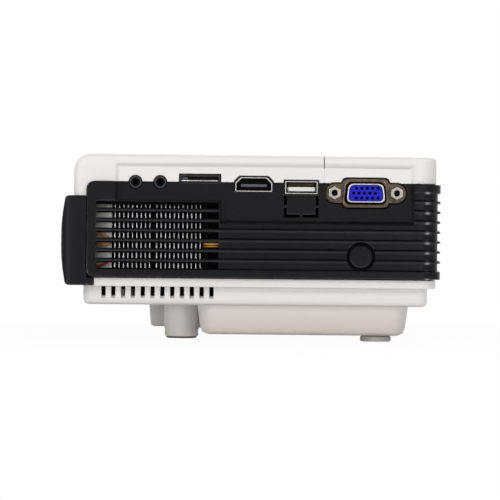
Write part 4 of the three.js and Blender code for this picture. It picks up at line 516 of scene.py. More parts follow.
MATERIALS = {
    # The white moulding, with painted shade toward the bottom of its sides
    "white_plastic": plastic(
        "white_moulding", (0.86, 0.842, 0.828), (0.83, 0.806, 0.787), 0.42, wear_and_highlight=0.25, wear_and_highlight_tone=(0.9, 0.89, 0.885),
        low=(0.585, 0.525, 0.495)),
    # The black band: painted shade on edges that look up, a painted reflection of the table on edges that look down,
    # and painted highlights down its corner and along its front edge
    "black_plastic": plastic(
        "black_moulding", (0.0108, 0.0105, 0.0120), (0.0138, 0.0134, 0.0150), 0.3, specular=0.06, wear_and_highlight=0.35,
        wear_and_highlight_tone=(0.044, 0.044, 0.049), edge=0.0004, dust=0.02, upper_edge_shade=(0.003, 0.003, 0.0035), corner_glint=(0.5, 0.5, 0.52)),
    "tinted_plastic": plastic(
        "infrared_window", (0.014, 0.003, 0.006), (0.009, 0.002, 0.004), 0.08, spread=0.03, specular=0.25,
        depth=0.000002),
    "dark_plastic": plastic("dark_moulding", (0.010, 0.010, 0.011), (0.016, 0.016, 0.017), 0.5, specular=0.25),
    "optical_glass": clear("coated_glass", (0.9, 0.93, 0.95), 0.01, 1.4, film=290),
    "optical_plastic": clear("moulded_acrylic", (0.95, 0.97, 0.98), 0.06, 1.49),
    "display_glass": plastic(
        "display_panel", (0.03, 0.035, 0.05), (0.04, 0.045, 0.06), 0.15, spread=0.05, depth=0.000002),
    "front_silvered_mirror": metal(
        "silvered_mirror", (0.9, 0.92, 0.94), (0.86, 0.88, 0.9), 0.04, spread=0.02, depth=0.0000005),
    "led_substrate": plastic("led_board", (0.03, 0.03, 0.028), (0.045, 0.042, 0.03), 0.4),
    # Metals seen through the air slots, with painted shade toward the top
    "aluminium": metal("extruded_aluminium", (0.27, 0.27, 0.27), (0.15, 0.15, 0.155), 0.42, top_shade=(0.05, 0.05, 0.05)),
    "sheet_steel": metal("zinc_sheet", (0.44, 0.435, 0.42), (0.28, 0.275, 0.265), 0.34, top_shade=(0.12, 0.12, 0.115)),
    "bright_steel": metal("bright_plate", (0.66, 0.64, 0.58), (0.42, 0.40, 0.36), 0.26, blotch=500),
    "tinned_steel": metal(
        "brown_nickel", (0.16, 0.125, 0.095), (0.03, 0.023, 0.018), 0.36, spread=0.3, blotch=520),
    "blue_plastic": plastic("blue_insert", (0.012, 0.016, 0.62), (0.010, 0.012, 0.42), 0.38, specular=0.15),
    "ivory_plastic": plastic("white_tongue", (0.86, 0.85, 0.81), (0.8, 0.79, 0.75), 0.4),
    "circuit_board": circuit("solder_mask"),
    "orange_insulation": plastic("orange_insulation", (0.9, 0.33, 0.05), (0.75, 0.22, 0.025), 0.36),
    "red_insulation": plastic("red_insulation", (0.48, 0.045, 0.03), (0.34, 0.022, 0.018), 0.38),
    "key_plastic": plastic(
        "key_grey", (0.06, 0.06, 0.068), (0.075, 0.075, 0.083), 0.42, specular=0.35, wear_and_highlight=0.4, wear_and_highlight_tone=(0.13, 0.13, 0.14)),
    "foot_rubber": plastic("foot_pad", (0.55, 0.53, 0.5), (0.45, 0.43, 0.41), 0.7, grain=1800),
}
# The fins: painted shade behind their front ends and toward the top
FIN_METAL = metal(
    "sawn_fins", (0.66, 0.66, 0.66), (0.26, 0.26, 0.265), 0.4, blotch=300, top_shade=(0.05, 0.05, 0.05),
    shade_behind_ends=(0.035, 0.035, 0.036))
KNOB_WHITE = plastic("knob_moulding", (0.90, 0.86, 0.82), (0.87, 0.825, 0.78), 0.45)
DEEP_GLASS = clear("deep_glass", (0.30, 0.36, 0.42), 0.02, 1.42)
PAD_GREY = plastic("grey_rubber", (0.16, 0.155, 0.15), (0.10, 0.10, 0.095), 0.75, grain=1800)
SYMBOL_WHITE = plastic("key_print", (0.68, 0.68, 0.68), (0.6, 0.6, 0.6), 0.5, depth=0.000004)
GOLD_PLATE = metal("gold_contact", (0.85, 0.62, 0.28), (0.72, 0.5, 0.2), 0.3)
DARK_PLATE = metal("dark_plate", (0.06, 0.06, 0.065), (0.03, 0.03, 0.034), 0.4)
TONGUE_GREY = plastic("grey_tongue", (0.10, 0.10, 0.125), (0.07, 0.07, 0.09), 0.4, specular=0.3)
# Near black for the lens baffles, and for the pieces that paint shade in grooves, bores, slots and socket mouths
BLACK_LINER = plastic("black_liner", (0.0016, 0.0016, 0.0018), (0.003, 0.003, 0.0033), 0.6, specular=0.03)
YELLOW_LEAD = plastic("yellow_insulation", (0.95, 0.66, 0.09), (0.8, 0.5, 0.06), 0.35)
HEX_NICKEL = metal("hex_nickel", (0.42, 0.40, 0.35), (0.26, 0.245, 0.21), 0.3, blotch=700)
# Dark brown metal for the contacts and springs deep in the sockets, which paints the shade they stand in
BROWN_PLATE = metal("brown_plate", (0.034, 0.026, 0.019), (0.008, 0.006, 0.005), 0.4, blotch=600)


# ---- ways of making pieces ----

def link_piece(name, mesh, node, material=None, stands_for=True):
    """Puts a finished mesh in the scene on a CAD node's body, in that node's place where it stands for it."""
    piece = bpy.data.objects.new(name, mesh)
    bpy.context.scene.collection.objects.link(piece)
    mesh.materials.clear()
    mesh.materials.append(material or MATERIALS[SLOT_OF[node]])
    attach(piece, BODY_OF[node])
    if stands_for:
        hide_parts(node)
    return piece


def shade(made, smooth):
    """Smooth faces, with every edge that turns more than an angle left sharp."""
    for face in made.faces:
        face.smooth = True
    for edge in made.edges:
        edge.smooth = edge.is_manifold and edge.calc_face_angle() < math.radians(smooth)


def round_edges(made, radius, segments=2, sharp=28, chosen=None):
    """Rounds every edge that turns more than an angle, or those of them that a test chooses."""
    corners = [
        edge for edge in made.edges
        if edge.is_manifold and edge.calc_face_angle() > math.radians(sharp) and (chosen is None or chosen(edge))
    ]
    bmesh.ops.bevel(
        made, geom=corners, offset=radius * MM, offset_type="OFFSET", segments=segments, profile=0.5,
        affect="EDGES", clamp_overlap=False, material=-1,
    )


def merged_copy(node):
    """A node's solid with its loose triangles joined and its flat faces made whole."""
    mesh = NODES[node].data.copy()
    made = bmesh.new()
    made.from_mesh(mesh)
    bmesh.ops.remove_doubles(made, verts=made.verts, dist=0.002 * MM)
    bmesh.ops.dissolve_limit(made, angle_limit=math.radians(0.8), verts=made.verts, edges=made.edges)
    return mesh, made


def rounded_copy(node, radius, smooth=38, material=None, shape=None, even=True, soft=(), chosen=None):
    """A node's solid with rounded edges and smooth curves.

    soft lists wider radii, each with a test of its edges, chosen tests the rest, and shape is a last change.
    """
    mesh, made = merged_copy(node)
    for soft_radius, soft_edges in soft:
        round_edges(made, soft_radius, segments=4, chosen=soft_edges)
    if radius > 0:
        round_edges(made, radius, chosen=chosen)
    if shape:
        shape(made)
    shade(made, smooth)
    made.to_mesh(mesh)
    made.free()
    mesh.name = f"{node}_moulded"
    piece = link_piece(mesh.name, mesh, node, material)
    if even:
        shading = piece.modifiers.new("even_shading", "WEIGHTED_NORMAL")
        shading.keep_sharp = True


def thicken(made, move):
    """Gives flat faces a thickness: a copy of them, moved and joined to them by walls."""
    grown = bmesh.ops.extrude_face_region(made, geom=made.faces[:])
    bmesh.ops.translate(made, vec=move, verts=[part for part in grown["geom"] if isinstance(part, bmesh.types.BMVert)])


def finish_piece(made, name, node, material=None, smooth=38, stands_for=False):
    """Faces a new shape outward, shades it and puts it on its node's body."""
    bmesh.ops.recalc_face_normals(made, faces=made.faces)
    shade(made, smooth)
    mesh = bpy.data.meshes.new(name)
    made.to_mesh(mesh)
    made.free()
    link_piece(name, mesh, node, material, stands_for)


def rounded_outline(made, corners, radius, segments=5):
    """A flat outline across the connector side's view, its corners rounded; gives back its edges."""
    face = made.faces.new([made.verts.new((x * MM, 0, z * MM)) for x, z in corners])
    bmesh.ops.bevel(
        made, geom=list(face.verts), offset=radius * MM, offset_type="OFFSET", segments=segments, profile=0.5,
        affect="VERTICES", clamp_overlap=True, material=-1,
    )
    made.faces.ensure_lookup_table()
    outline = made.faces[-1]
    edges = list(outline.edges)
    bmesh.ops.delete(made, geom=[outline], context="FACES_ONLY")
    return edges


def box_corners(place, width, height):
    """The corners of a rectangle round a place."""
    x, y = place
    return [
        (x - width / 2, y - height / 2), (x + width / 2, y - height / 2),
        (x + width / 2, y + height / 2), (x - width / 2, y + height / 2),
    ]


def frame_piece(name, node, outer, inner, radii, near, far, edge, material=None, segments=5):
    """A ring between two rounded outlines, from a near depth to a far one, with its edges rounded."""
    made = bmesh.new()
    loops = rounded_outline(made, outer, radii[0], segments) + rounded_outline(made, inner, radii[1], segments)
    bmesh.ops.bridge_loops(made, edges=loops)
    thicken(made, (0, (far - near) * MM, 0))
    bmesh.ops.translate(made, vec=(0, near * MM, 0), verts=made.verts)
    bmesh.ops.recalc_face_normals(made, faces=made.faces)
    if edge > 0:
        round_edges(made, edge, sharp=50)
    finish_piece(made, name, node, material)


def add_plate(made, place, width, height, near, far, edge=0.0):
    """Adds a block to a shape: its middle in the side's view, its size and its two depths."""
    grown = bmesh.ops.create_cube(made, size=1)
    verts = grown["verts"]
    bmesh.ops.scale(made, vec=(width * MM, (far - near) * MM, height * MM), verts=verts)
    bmesh.ops.translate(made, vec=(place[0] * MM, (near + far) / 2 * MM, place[1] * MM), verts=verts)
    if edge > 0:
        edges = list({corner for vert in verts for corner in vert.link_edges})
        bmesh.ops.bevel(
            made, geom=edges, offset=edge * MM, offset_type="OFFSET", segments=2, profile=0.5,
            affect="EDGES", clamp_overlap=True, material=-1,
        )


def plate_piece(name, node, place, width, height, near, far, edge, material=None):
    """One block as a piece of its own."""
    made = bmesh.new()
    add_plate(made, place, width, height, near, far, edge)
    finish_piece(made, name, node, material)


def contact_row(name, node, first, pitch, count, width, thickness, near, far, material, edge=0.0):
    """A row of flat contacts, side by side."""
    made = bmesh.new()
    for step in range(count):
        add_plate(made, (first[0] + step * pitch, first[1]), width, thickness, near, far, edge)
    finish_piece(made, name, node, material)


# How a shape spun about Z is turned onto each axis
TURN_AXES = {
    "x": Matrix(((0, 0, 1), (1, 0, 0), (0, 1, 0))).to_4x4(),
    "y": Matrix(((1, 0, 0), (0, 0, 1), (0, 1, 0))).to_4x4(),
    "z": Matrix.Identity(4),
}


def axis_place(axis, centre):
    """A point on an axis, in metres, from its two places across it."""
    across = {"x": (0, centre[0], centre[1]), "y": (centre[0], 0, centre[1]), "z": (centre[0], centre[1], 0)}
    return Vector(across[axis]) * MM


def add_turned(made, profile, axis, centre, steps=48, closed=False):
    """Spins a profile of radius and place a full turn into a shape; the places run along the axis."""
    before = set(made.verts)
    verts = [made.verts.new((radius * MM, 0, place * MM)) for radius, place in profile]
    pairs = list(zip(verts, verts[1:])) + ([(verts[-1], verts[0])] if closed else [])
    edges = [made.edges.new(pair) for pair in pairs]
    bmesh.ops.spin(
        made, geom=verts + edges, cent=(0, 0, 0), axis=(0, 0, 1), dvec=(0, 0, 0), angle=math.tau,
        steps=steps, use_merge=True, use_duplicate=False,
    )
    bmesh.ops.remove_doubles(made, verts=[vert for vert in made.verts if vert not in before], dist=0.001 * MM)
    turned = [vert for vert in made.verts if vert not in before]
    bmesh.ops.transform(made, matrix=Matrix.Translation(axis_place(axis, centre)) @ TURN_AXES[axis], verts=turned)


def turned_shape(profile, axis, centre, steps=48, closed=False):
    """A new shape from a spun profile."""
    made = bmesh.new()
    add_turned(made, profile, axis, centre, steps, closed)
    return made


def turned_piece(name, node, profile, axis, centre, steps=48, material=None, closed=False, stands_for=False, smooth=32):
    """A spun profile as a piece of its own."""
    finish_piece(turned_shape(profile, axis, centre, steps, closed), name, node, material, smooth, stands_for)


def press_grips(made, axis, centre, count, beyond, depth, start=-math.inf, end=math.inf):
    """Presses every other line of a turned rim in, between two places on its axis, and leaves finger grips."""
    middle = axis_place(axis, centre)
    along, first, second = {"x": (0, 1, 2), "z": (2, 0, 1)}[axis]
    for vert in made.verts:
        reach = vert.co - middle
        reach[along] = 0
        line = round(math.atan2(reach[second], reach[first]) / math.tau * count * 2)
        if reach.length > beyond * MM and line % 2 and start * MM < vert.co[along] < end * MM:
            vert.co -= reach.normalized() * depth * MM


def arc(centre, radius, start, end, steps):
    """Points of an arc in a profile, from one angle to another in degrees."""
    points = []
    for step in range(steps + 1):
        angle = math.radians(start + (end - start) * step / steps)
        points.append((centre[0] + radius * math.cos(angle), centre[1] + radius * math.sin(angle)))
    return points


# ---- mouldings ----

def at_recess_top(edge):
    """The upper edge of the connector recess."""
    low, high = RECESS_TOP_Z
    return all(vert.co.y < RECESS_FACE_Y * MM and low * MM < vert.co.z < high * MM for vert in edge.verts)


def off_recess_seam(edge):
    """Every edge but those of the seam inside the connector recess."""
    return not all(
        abs(vert.co.x - SEAM_X * MM) < 0.25 * MM and vert.co.y < -96.5 * MM and vert.co.z < 70.5 * MM
        for vert in edge.verts)


def in_pad(edge):
    """Whether an edge is round the pad's keys, which stand between thin webs."""
    return all(math.hypot(vert.co.x - PAD_X * MM, vert.co.y) < PAD_REACH * MM for vert in edge.verts)


def off_pad_webs(edge):
    """Every edge but those of the pad's webs and of the recess's seam."""
    return off_recess_seam(edge) and not in_pad(edge)


def at_pad_webs(edge):
    """The upper edges of the pad's webs."""
    return in_pad(edge) and all(vert.co.z > PAD_UPPER_Z * MM for vert in edge.verts)


def off_boss_foot(edge):
    """Every edge but those at the foot of the two screw bosses, where the knobs meet them."""
    return not all(abs(vert.co.z - BOSS_FOOT_Z * MM) < 0.1 * MM for vert in edge.verts)


rounded_copy("bottom_shell", 0.3, chosen=off_boss_foot)
rounded_copy("top_cover", 0.3, soft=[(0.9, at_recess_top)], chosen=off_recess_seam)
rounded_copy("control_deck", 0.3, soft=[(0.9, at_recess_top), (0.12, at_pad_webs)], chosen=off_pad_webs)
rounded_copy("front_bezel", 0.35)
rounded_copy("side_band", 0, smooth=24, even=False)
rounded_copy("ir_window", 0.4)
rounded_copy("power_button", 0.3)
rounded_copy("power_inlet", 0.25)
for side in ("near", "far"):
    rounded_copy(f"rear_foot_{side}", 0.45)
    rounded_copy(f"foot_stud_{side}", 0.2)
    for end in ("front", "rear"):
        rounded_copy(f"case_screw_{end}_{side}", 0.12)

# The cover's inner tongue, which stands behind the seam in the connector recess
plate_piece("seam_tongue", "top_cover", (SEAM_X, 66.9), 0.26, 5.6, -96.95, -95.9, 0.03)
# A black ring in the round button's groove, which paints the shade in it
turned_piece(
    "power_button_groove_shade", "side_band",
    [(4.62, -98.3), (5.75, -98.3), (5.75, -97.9), (4.62, -97.9)], "y", (44, 34.5), material=BLACK_LINER, closed=True)


def make_slot_shadow_strips():
    """Thin black strips behind the upper edges of the air slots, which paint the shadow there; the one that the thin
    leads cross stops short of them.
    """
    made = bmesh.new()
    start, run_end = SLOT_RUN
    for top in SLOT_TOPS:
        end = CROSSED_SLOT_END if top == SLOT_TOPS[2] else run_end
        drop = TOP_STRIP_DROP if top == SLOT_TOPS[-1] else STRIP_DROP
        middle = ((start + end) / 2, top + (STRIP_RISE - drop) / 2)
        add_plate(made, middle, end - start, STRIP_RISE + drop, -95.82, -95.5, 0.05)
    finish_piece(made, "slot_shadow_strips", "side_band", BLACK_LINER)


make_slot_shadow_strips()


# ---- keys ----

def lower_key_top(made):
    """Sets a key's rounded top a little lower in its hole."""
    high = max(vert.co.z for vert in made.verts)
    tops = [vert for vert in made.verts if vert.co.z > high - 0.35 * MM]
    bmesh.ops.translate(made, vec=(0, 0, -KEY_TOP_DROP * MM), verts=tops)


for key_node in [node for node in NODES if node.startswith("key_") and node != "key_board"]:
    rounded_copy(key_node, 0.3, shape=lower_key_top)


def print_mark(name, node, outlines):
    """A thin printed mark on a key top, from flat outlines of points."""
    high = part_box(node)[1]
    made = bmesh.new()
    for outline in outlines:
        made.faces.new([made.verts.new((x * MM, y * MM, 0)) for x, y in outline])
    thicken(made, (0, 0, MARK_THICKNESS * MM))
    bmesh.ops.translate(made, vec=(0, 0, high[2] - MARK_SINK * MM), verts=made.verts)
    finish_piece(made, name, node, SYMBOL_WHITE)


def ring_strip(centre, radius, width, start, end, steps=20):
    """Short four-sided outlines that follow an arc."""
    quads = []
    for step in range(steps):
        first, last = [math.radians(start + (end - start) * (step + shift) / steps) for shift in (0, 1)]
        quads.append([
            (centre[0] + reach * math.cos(angle), centre[1] + reach * math.sin(angle))
            for reach, angle in ((radius - width / 2, first), (radius + width / 2, first),
                                 (radius + width / 2, last), (radius - width / 2, last))
        ])
    return quads


def arrow_head(quarter, reach, size):
    """A triangle that points away from the pad's middle."""
    angle = math.radians(90 * quarter)
    cosine, sine = math.cos(angle), math.sin(angle)
    points = [(reach + size, 0), (reach - size * 0.5, size), (reach - size * 0.5, -size)]
    return [(PAD_X + x * cosine - y * sine, x * sine + y * cosine) for x, y in points]


for key_node, quarter in (("key_down", 0), ("key_right", 1), ("key_up", 2), ("key_left", 3)):
    print_mark(f"{key_node}_arrow", key_node, [arrow_head(quarter, 9.0, 1.1)])
print_mark("ok_ring", "key_ok", ring_strip((PAD_X, 0), 2.2, 0.45, 0, 360, 28))
print_mark("power_mark", "key_power", ring_strip((PAD_X, POWER_Y), 1.7, STROKE, -140, 140, 22) + [
    box_corners((PAD_X - 1.5, POWER_Y), 2.0, STROKE)])
print_mark("source_mark", "key_source", [
    box_corners((PAD_X + 1.6, SOURCE_Y), STROKE, 4.2), box_corners((PAD_X - 1.6, SOURCE_Y), STROKE, 4.2),
    box_corners((PAD_X, SOURCE_Y - 2.1), 2.78, STROKE), box_corners((PAD_X, SOURCE_Y + 2.1), 2.78, STROKE)])
print_mark("menu_mark", "key_menu", [box_corners((PAD_X + shift, MENU_Y), 0.45, 3.6) for shift in (-1.3, 0, 1.3)])
print_mark("back_mark", "key_back", ring_strip((PAD_X, BACK_Y), 1.7, STROKE, -60, 180, 22) + [
    [(PAD_X + 2.0, BACK_Y - 2.0), (PAD_X - 0.1, BACK_Y - 2.8), (PAD_X + 0.2, BACK_Y - 0.8)]])


# ---- sockets ----

for jack_node, jack_place in JACK_PLACES.items():
    rounded_copy(jack_node, 0.25)
    turned_piece(
        f"{jack_node}_sleeve", jack_node,
        [(1.7, PANEL_Y + 0.9), (1.35, PANEL_Y + 1.2), (1.35, PANEL_Y + 9), (1.7, PANEL_Y + 9)], "y", jack_place,
        material=DARK_PLATE, closed=True)
    turned_piece(
        f"{jack_node}_ring", jack_node, arc((2.12, PANEL_Y + 0.12), 0.11, 0, 324, 9), "y", jack_place,
        material=MATERIALS["key_plastic"], closed=True)

rounded_copy("card_slot", 0.1, material=DARK_PLATE)
plate_piece(
    "card_slot_lip", "card_slot", (-20.9, 64.42), 14.4, 0.28, PANEL_Y + 0.25, PANEL_Y + 5, 0.06,
    MATERIALS["bright_steel"])
plate_piece(
    "card_slot_stop", "card_slot", (-26.8, 65.25), 2.3, 1.1, PANEL_Y + 1.1, PANEL_Y + 7, 0.1, TONGUE_GREY)
contact_row(
    "card_slot_contacts", "card_slot", (-25.0, 65.85), 1.35, 8, 0.7, 0.14, PANEL_Y + 1.6, PANEL_Y + 7, BROWN_PLATE)

rounded_copy("hdmi_socket", 0.12)
rounded_copy("hdmi_tongue", 0.12, material=TONGUE_GREY)
rounded_copy("usb_socket", 0.12)
rounded_copy("usb_tongue", 0.12)


def hdmi_corners(grow):
    """The HDMI socket's outline, grown or shrunk by a margin."""
    x, z = HDMI_PLACE
    half, high, cut = 7.4 + grow, 2.9 + grow, 2.1
    return [
        (x - half, z - high), (x + half, z - high), (x + half, z + high - cut),
        (x + half - cut, z + high), (x - half + cut, z + high), (x - half, z + high - cut),
    ]


def shadow_rim_piece(name, outer, inner, radii, depth=0.6):
    """A thin black rim round a socket's cutout, which paints the shadow in the gap round it."""
    frame_piece(
        name, "side_band", outer, inner, radii, PANEL_Y - 0.15, PANEL_Y + depth, 0.06,
        MATERIALS["black_plastic"], segments=3)


# A black sleeve inside the HDMI shell's mouth, which paints the shade within it
frame_piece(
    "hdmi_shade_sleeve", "hdmi_socket", hdmi_corners(-0.34), hdmi_corners(-0.8), (0.3, 0.2),
    PANEL_Y + 0.06, PANEL_Y + 10, 0.05, BLACK_LINER, segments=2)
frame_piece(
    "hdmi_back", "hdmi_socket", hdmi_corners(-0.76), box_corners((HDMI_PLACE[0], 62.7), 10.5, 1.2), (0.2, 0.1),
    PANEL_Y + 1.35, PANEL_Y + 2.2, 0.04, BLACK_LINER, segments=2)
shadow_rim_piece("hdmi_shadow_rim", hdmi_corners(0.62), hdmi_corners(0.04), (0.4, 0.3))
# A black sleeve inside the USB shell's mouth, which paints the shade within it
frame_piece(
    "usb_shade_sleeve", "usb_socket", box_corners(USB_PLACE, 12.3, 4.4), box_corners(USB_PLACE, 11.0, 3.7),
    (0.15, 0.15), PANEL_Y + 0.06, PANEL_Y + 11, 0.05, BLACK_LINER, segments=2)
shadow_rim_piece("usb_shadow_rim", box_corners(USB_PLACE, 14.3, 6.3), box_corners(USB_PLACE, 13.05, 5.15), (0.3, 0.2))
shadow_rim_piece(
    "card_shadow_rim", box_corners(CARD_PLACE, 17.0, 4.1), box_corners(CARD_PLACE, 15.7, 2.5), (0.3, 0.1), depth=0.4)
contact_row(
    "hdmi_contacts", "hdmi_tongue", (HDMI_PLACE[0] - 4.5, HDMI_PLACE[1] + 0.2), 1, 10, 0.45, 0.1,
    PANEL_Y + 1.3, PANEL_Y + 8, BROWN_PLATE)
contact_row(
    "usb_contacts", "usb_tongue", (USB_PLACE[0] - 3.75, 62.3), 2.5, 4, 1.1, 0.14,
    PANEL_Y + 1.5, PANEL_Y + 9, GOLD_PLATE, edge=0.04)


def make_usb_springs():
    """The two springs in the roof of the USB shell, and the plate behind its mouth."""
    made = bmesh.new()
    for side in (-1, 1):
        add_plate(made, (USB_PLACE[0] + side * 2.9, 63.85), 2.6, 0.14, PANEL_Y + 0.35, PANEL_Y + 6, 0.05)
    add_plate(made, (USB_PLACE[0], 63.2), 11.0, 1.5, PANEL_Y + 0.9, PANEL_Y + 1.2, 0.08)
    finish_piece(made, "usb_springs", "usb_socket", BROWN_PLATE)


make_usb_springs()


# ---- video socket ----

VGA_SPACE = Matrix.Translation(Vector((-VGA_PLACE[0], 0, -VGA_PLACE[1])) * MM)


def vga_corners(width, height, slant=0.9):
    """A slant-sided outline round the video socket."""
    x, z = VGA_PLACE
    half, high = width / 2, height / 2
    return [(x - half, z - high), (x + half, z - high), (x + half - slant, z + high), (x - half + slant, z + high)]


def shape_shell(made):
    """Draws the shell in, so that the collar shows round it."""
    bmesh.ops.scale(made, vec=(0.935, 1, 0.94), space=VGA_SPACE, verts=made.verts)


def shape_insert(made):
    """The insert with its face a little narrower, and its flange drawn in behind the bracket."""
    bmesh.ops.scale(made, vec=(INSERT_WIDTH_SHARE, 1, 1), space=VGA_SPACE, verts=made.verts)
    flange = [vert for vert in made.verts if vert.co.y > -95.8 * MM]
    bmesh.ops.scale(made, vec=(0.86, 1, 0.84), space=VGA_SPACE, verts=flange)


rounded_copy("vga_bracket", 0.15)
rounded_copy("vga_shell", 0.14, shape=shape_shell)
rounded_copy("vga_insert", 0.05, shape=shape_insert)
frame_piece(
    "vga_collar", "vga_bracket", vga_corners(18.8, 11.7), vga_corners(17.2, 8.9), (2.6, 2.2),
    -96.5, -95.45, 0.3)
# A black ring behind the shell, which paints the shadow in the gap round it
frame_piece(
    "vga_shadow_ring", "vga_bracket", vga_corners(18.5, 9.9), vga_corners(15.6, 7.6), (2.2, 2.0),
    -95.3, -94.9, 0.08, BLACK_LINER)
# The band's own wall beside the front ear of the bracket
plate_piece("vga_pocket_wall", "side_band", (29.3, VGA_PLACE[1]), 1.6, 5.4, -96.4, -95.2, 0.1)


def make_pin_mouth_shades():
    """The fifteen sockets in the insert's face, each a black ring that paints the shade in its mouth."""
    made = bmesh.new()
    for row, shift in enumerate(PIN_ROW_SHIFTS):
        for step in range(5):
            across = (shift + (step - 2) * PIN_PITCH) * INSERT_WIDTH_SHARE
            place = (VGA_PLACE[0] + across, VGA_PLACE[1] + (row - 1) * PIN_ROW_PITCH)
            add_turned(
                made, [(0.26, -98.63), (0.7, -98.63), (0.7, -98.3), (0.26, -97.6)], "y", place, steps=10, closed=True)
    finish_piece(made, "vga_pin_mouth_shades", "vga_insert", BLACK_LINER)


make_pin_mouth_shades()
for side, end in ((-1, "front"), (1, "rear")):
    place = (VGA_PLACE[0] + side * VGA_SCREW_SHIFT, VGA_PLACE[1])
    rounded_copy(f"vga_jackscrew_{end}", 0.32, material=HEX_NICKEL)
    # A black plug that paints the shade in the jackscrew's bore
    turned_piece(
        f"vga_jackscrew_bore_shade_{end}", f"vga_jackscrew_{end}",
        [(0, -98.3), (0.8, -98.35), (1.1, -98.72), (1.3, -98.74), (1.3, -98.0), (0, -98.0)],
        "y", place, material=BLACK_LINER, steps=24)
    turned_piece(
        f"vga_washer_{end}", "vga_bracket",
        [(2.8, -96.0), (3.35, -96.0), (3.5, -95.85), (3.5, -95.45), (2.8, -95.45)], "y", place,
        material=MATERIALS["tinned_steel"], closed=True, steps=36)


# ---- lens ----

rounded_copy("lens_housing", 0.15)
rounded_copy("lens_cell", 0.2)


def make_focus_ring():
    """The focus ring with fine finger ribs round its front."""
    ribs = 54
    profile = [
        (14.2, -60.95), (14.2, -69.3), (15.2, -69.5), (15.25, -69.8), (15.25, -74.9), (14.9, -75.3), (13.9, -75.38),
        (13.2, -75.1), (12.6, -74.6), (12.25, -74.0), (12.25, -60.95),
    ]
    made = turned_shape(profile, "x", LENS_AXIS, steps=ribs * 2, closed=True)
    press_grips(made, "x", LENS_AXIS, ribs, 15.0, 0.4, start=-74.95, end=-69.4)
    finish_piece(made, "focus_ring_ribbed", "focus_ring", smooth=30, stands_for=True)


make_focus_ring()
turned_piece(
    "front_lens", "front_element",
    [(0, -73.85)] + arc((0, -52.6), 21.25, -90, -62.8, 10)[1:]
    + [(9.85, -71.4), (9.0, -71.2), (6.0, -71.75), (3.0, -72.05), (0, -72.15)],
    "x", LENS_AXIS, material=MATERIALS["optical_glass"], stands_for=True)
baffles = []
for step in range(7):
    baffles += [(9.9, -69.6 + step * 1.2), (8.9, -69.0 + step * 1.2)]
turned_piece(
    "lens_baffles", "lens_cell", baffles + [(6.3, -61.6), (6.3, -61.2), (10.05, -61.2), (10.05, -69.6)],
    "x", LENS_AXIS, material=BLACK_LINER, closed=True)
turned_piece(
    "inner_lens", "lens_cell",
    [(0, -64.2)] + arc((0, -53.2), 11.0, -90, -56, 8)[1:] + [(6.2, -61.7), (0, -61.9)],
    "x", LENS_AXIS, material=DEEP_GLASS)
turned_piece(
    "lens_retainer", "lens_cell",
    [(9.2, -73.55), (9.85, -74.05), (10.15, -74.05), (10.15, -72.9), (9.9, -72.9)], "x", LENS_AXIS,
    material=MATERIALS["dark_plastic"], closed=True)


# ---- feet ----

def make_foot(side, sign):
    """The front foot's knob with fine grips, and the rubber pad under it."""
    node = f"foot_knob_{side}"
    centre = (FOOT_X, sign * FOOT_REACH)
    grips = 40
    made = turned_shape(
        [(3.35, 3.87), (6.97, 3.87), (6.97, 1.2), (6.75, 0.85), (3.35, 0.85)], "z", centre, steps=grips * 2,
        closed=True)
    press_grips(made, "z", centre, grips, 6.9, 0.07)
    finish_piece(made, f"foot_grip_{side}", node, KNOB_WHITE, smooth=30, stands_for=True)
    turned_piece(
        f"foot_sole_{side}", node, [(0, 0.02), (5.9, 0.02), (6.3, 0.35), (6.3, 0.84), (0, 0.84)], "z", centre,
        material=PAD_GREY)


make_foot("near", -1)
make_foot("far", 1)


# ---- inside ----

for inner_node, inner_radius in {
    "heatsink": 0.22, "heatsink_bracket": 0.15, "engine_housing": 0.25, "engine_lid": 0.25, "led_module": 0.15,
    "condenser_lens": 0.0, "fresnel_lens": 0.0, "fan_frame": 0.15, "fan_rotor": 0.0, "speaker": 0.0,
    "main_board": 0.0, "key_board": 0.0, "power_board": 0.1, "lcd_panel": 0.1, "fold_mirror": 0.1,
}.items():
    rounded_copy(inner_node, inner_radius, smooth=42, material=FIN_METAL if inner_node == "heatsink" else None)


def make_lead(name, node, points, radius, material, stands_for=False):
    """A soft round lead through a list of points."""
    curve = bpy.data.curves.new(name, "CURVE")
    curve.dimensions = "3D"
    curve.bevel_depth = radius * MM
    curve.bevel_resolution = 3
    curve.use_fill_caps = True
    spline = curve.splines.new("NURBS")
    spline.points.add(len(points) - 1)
    spline.order_u = 4
    spline.use_endpoint_u = True
    for point, place in zip(spline.points, points):
        point.co = (place[0] * MM, place[1] * MM, place[2] * MM, 1)
    route = bpy.data.objects.new(name, curve)
    mesh = bpy.data.meshes.new_from_object(route)
    bpy.data.objects.remove(route)
    made = bmesh.new()
    made.from_mesh(mesh)
    bpy.data.meshes.remove(mesh)
    bmesh.ops.remove_doubles(made, verts=made.verts, dist=0.002 * MM)
    finish_piece(made, name, node, material, smooth=60, stands_for=stands_for)


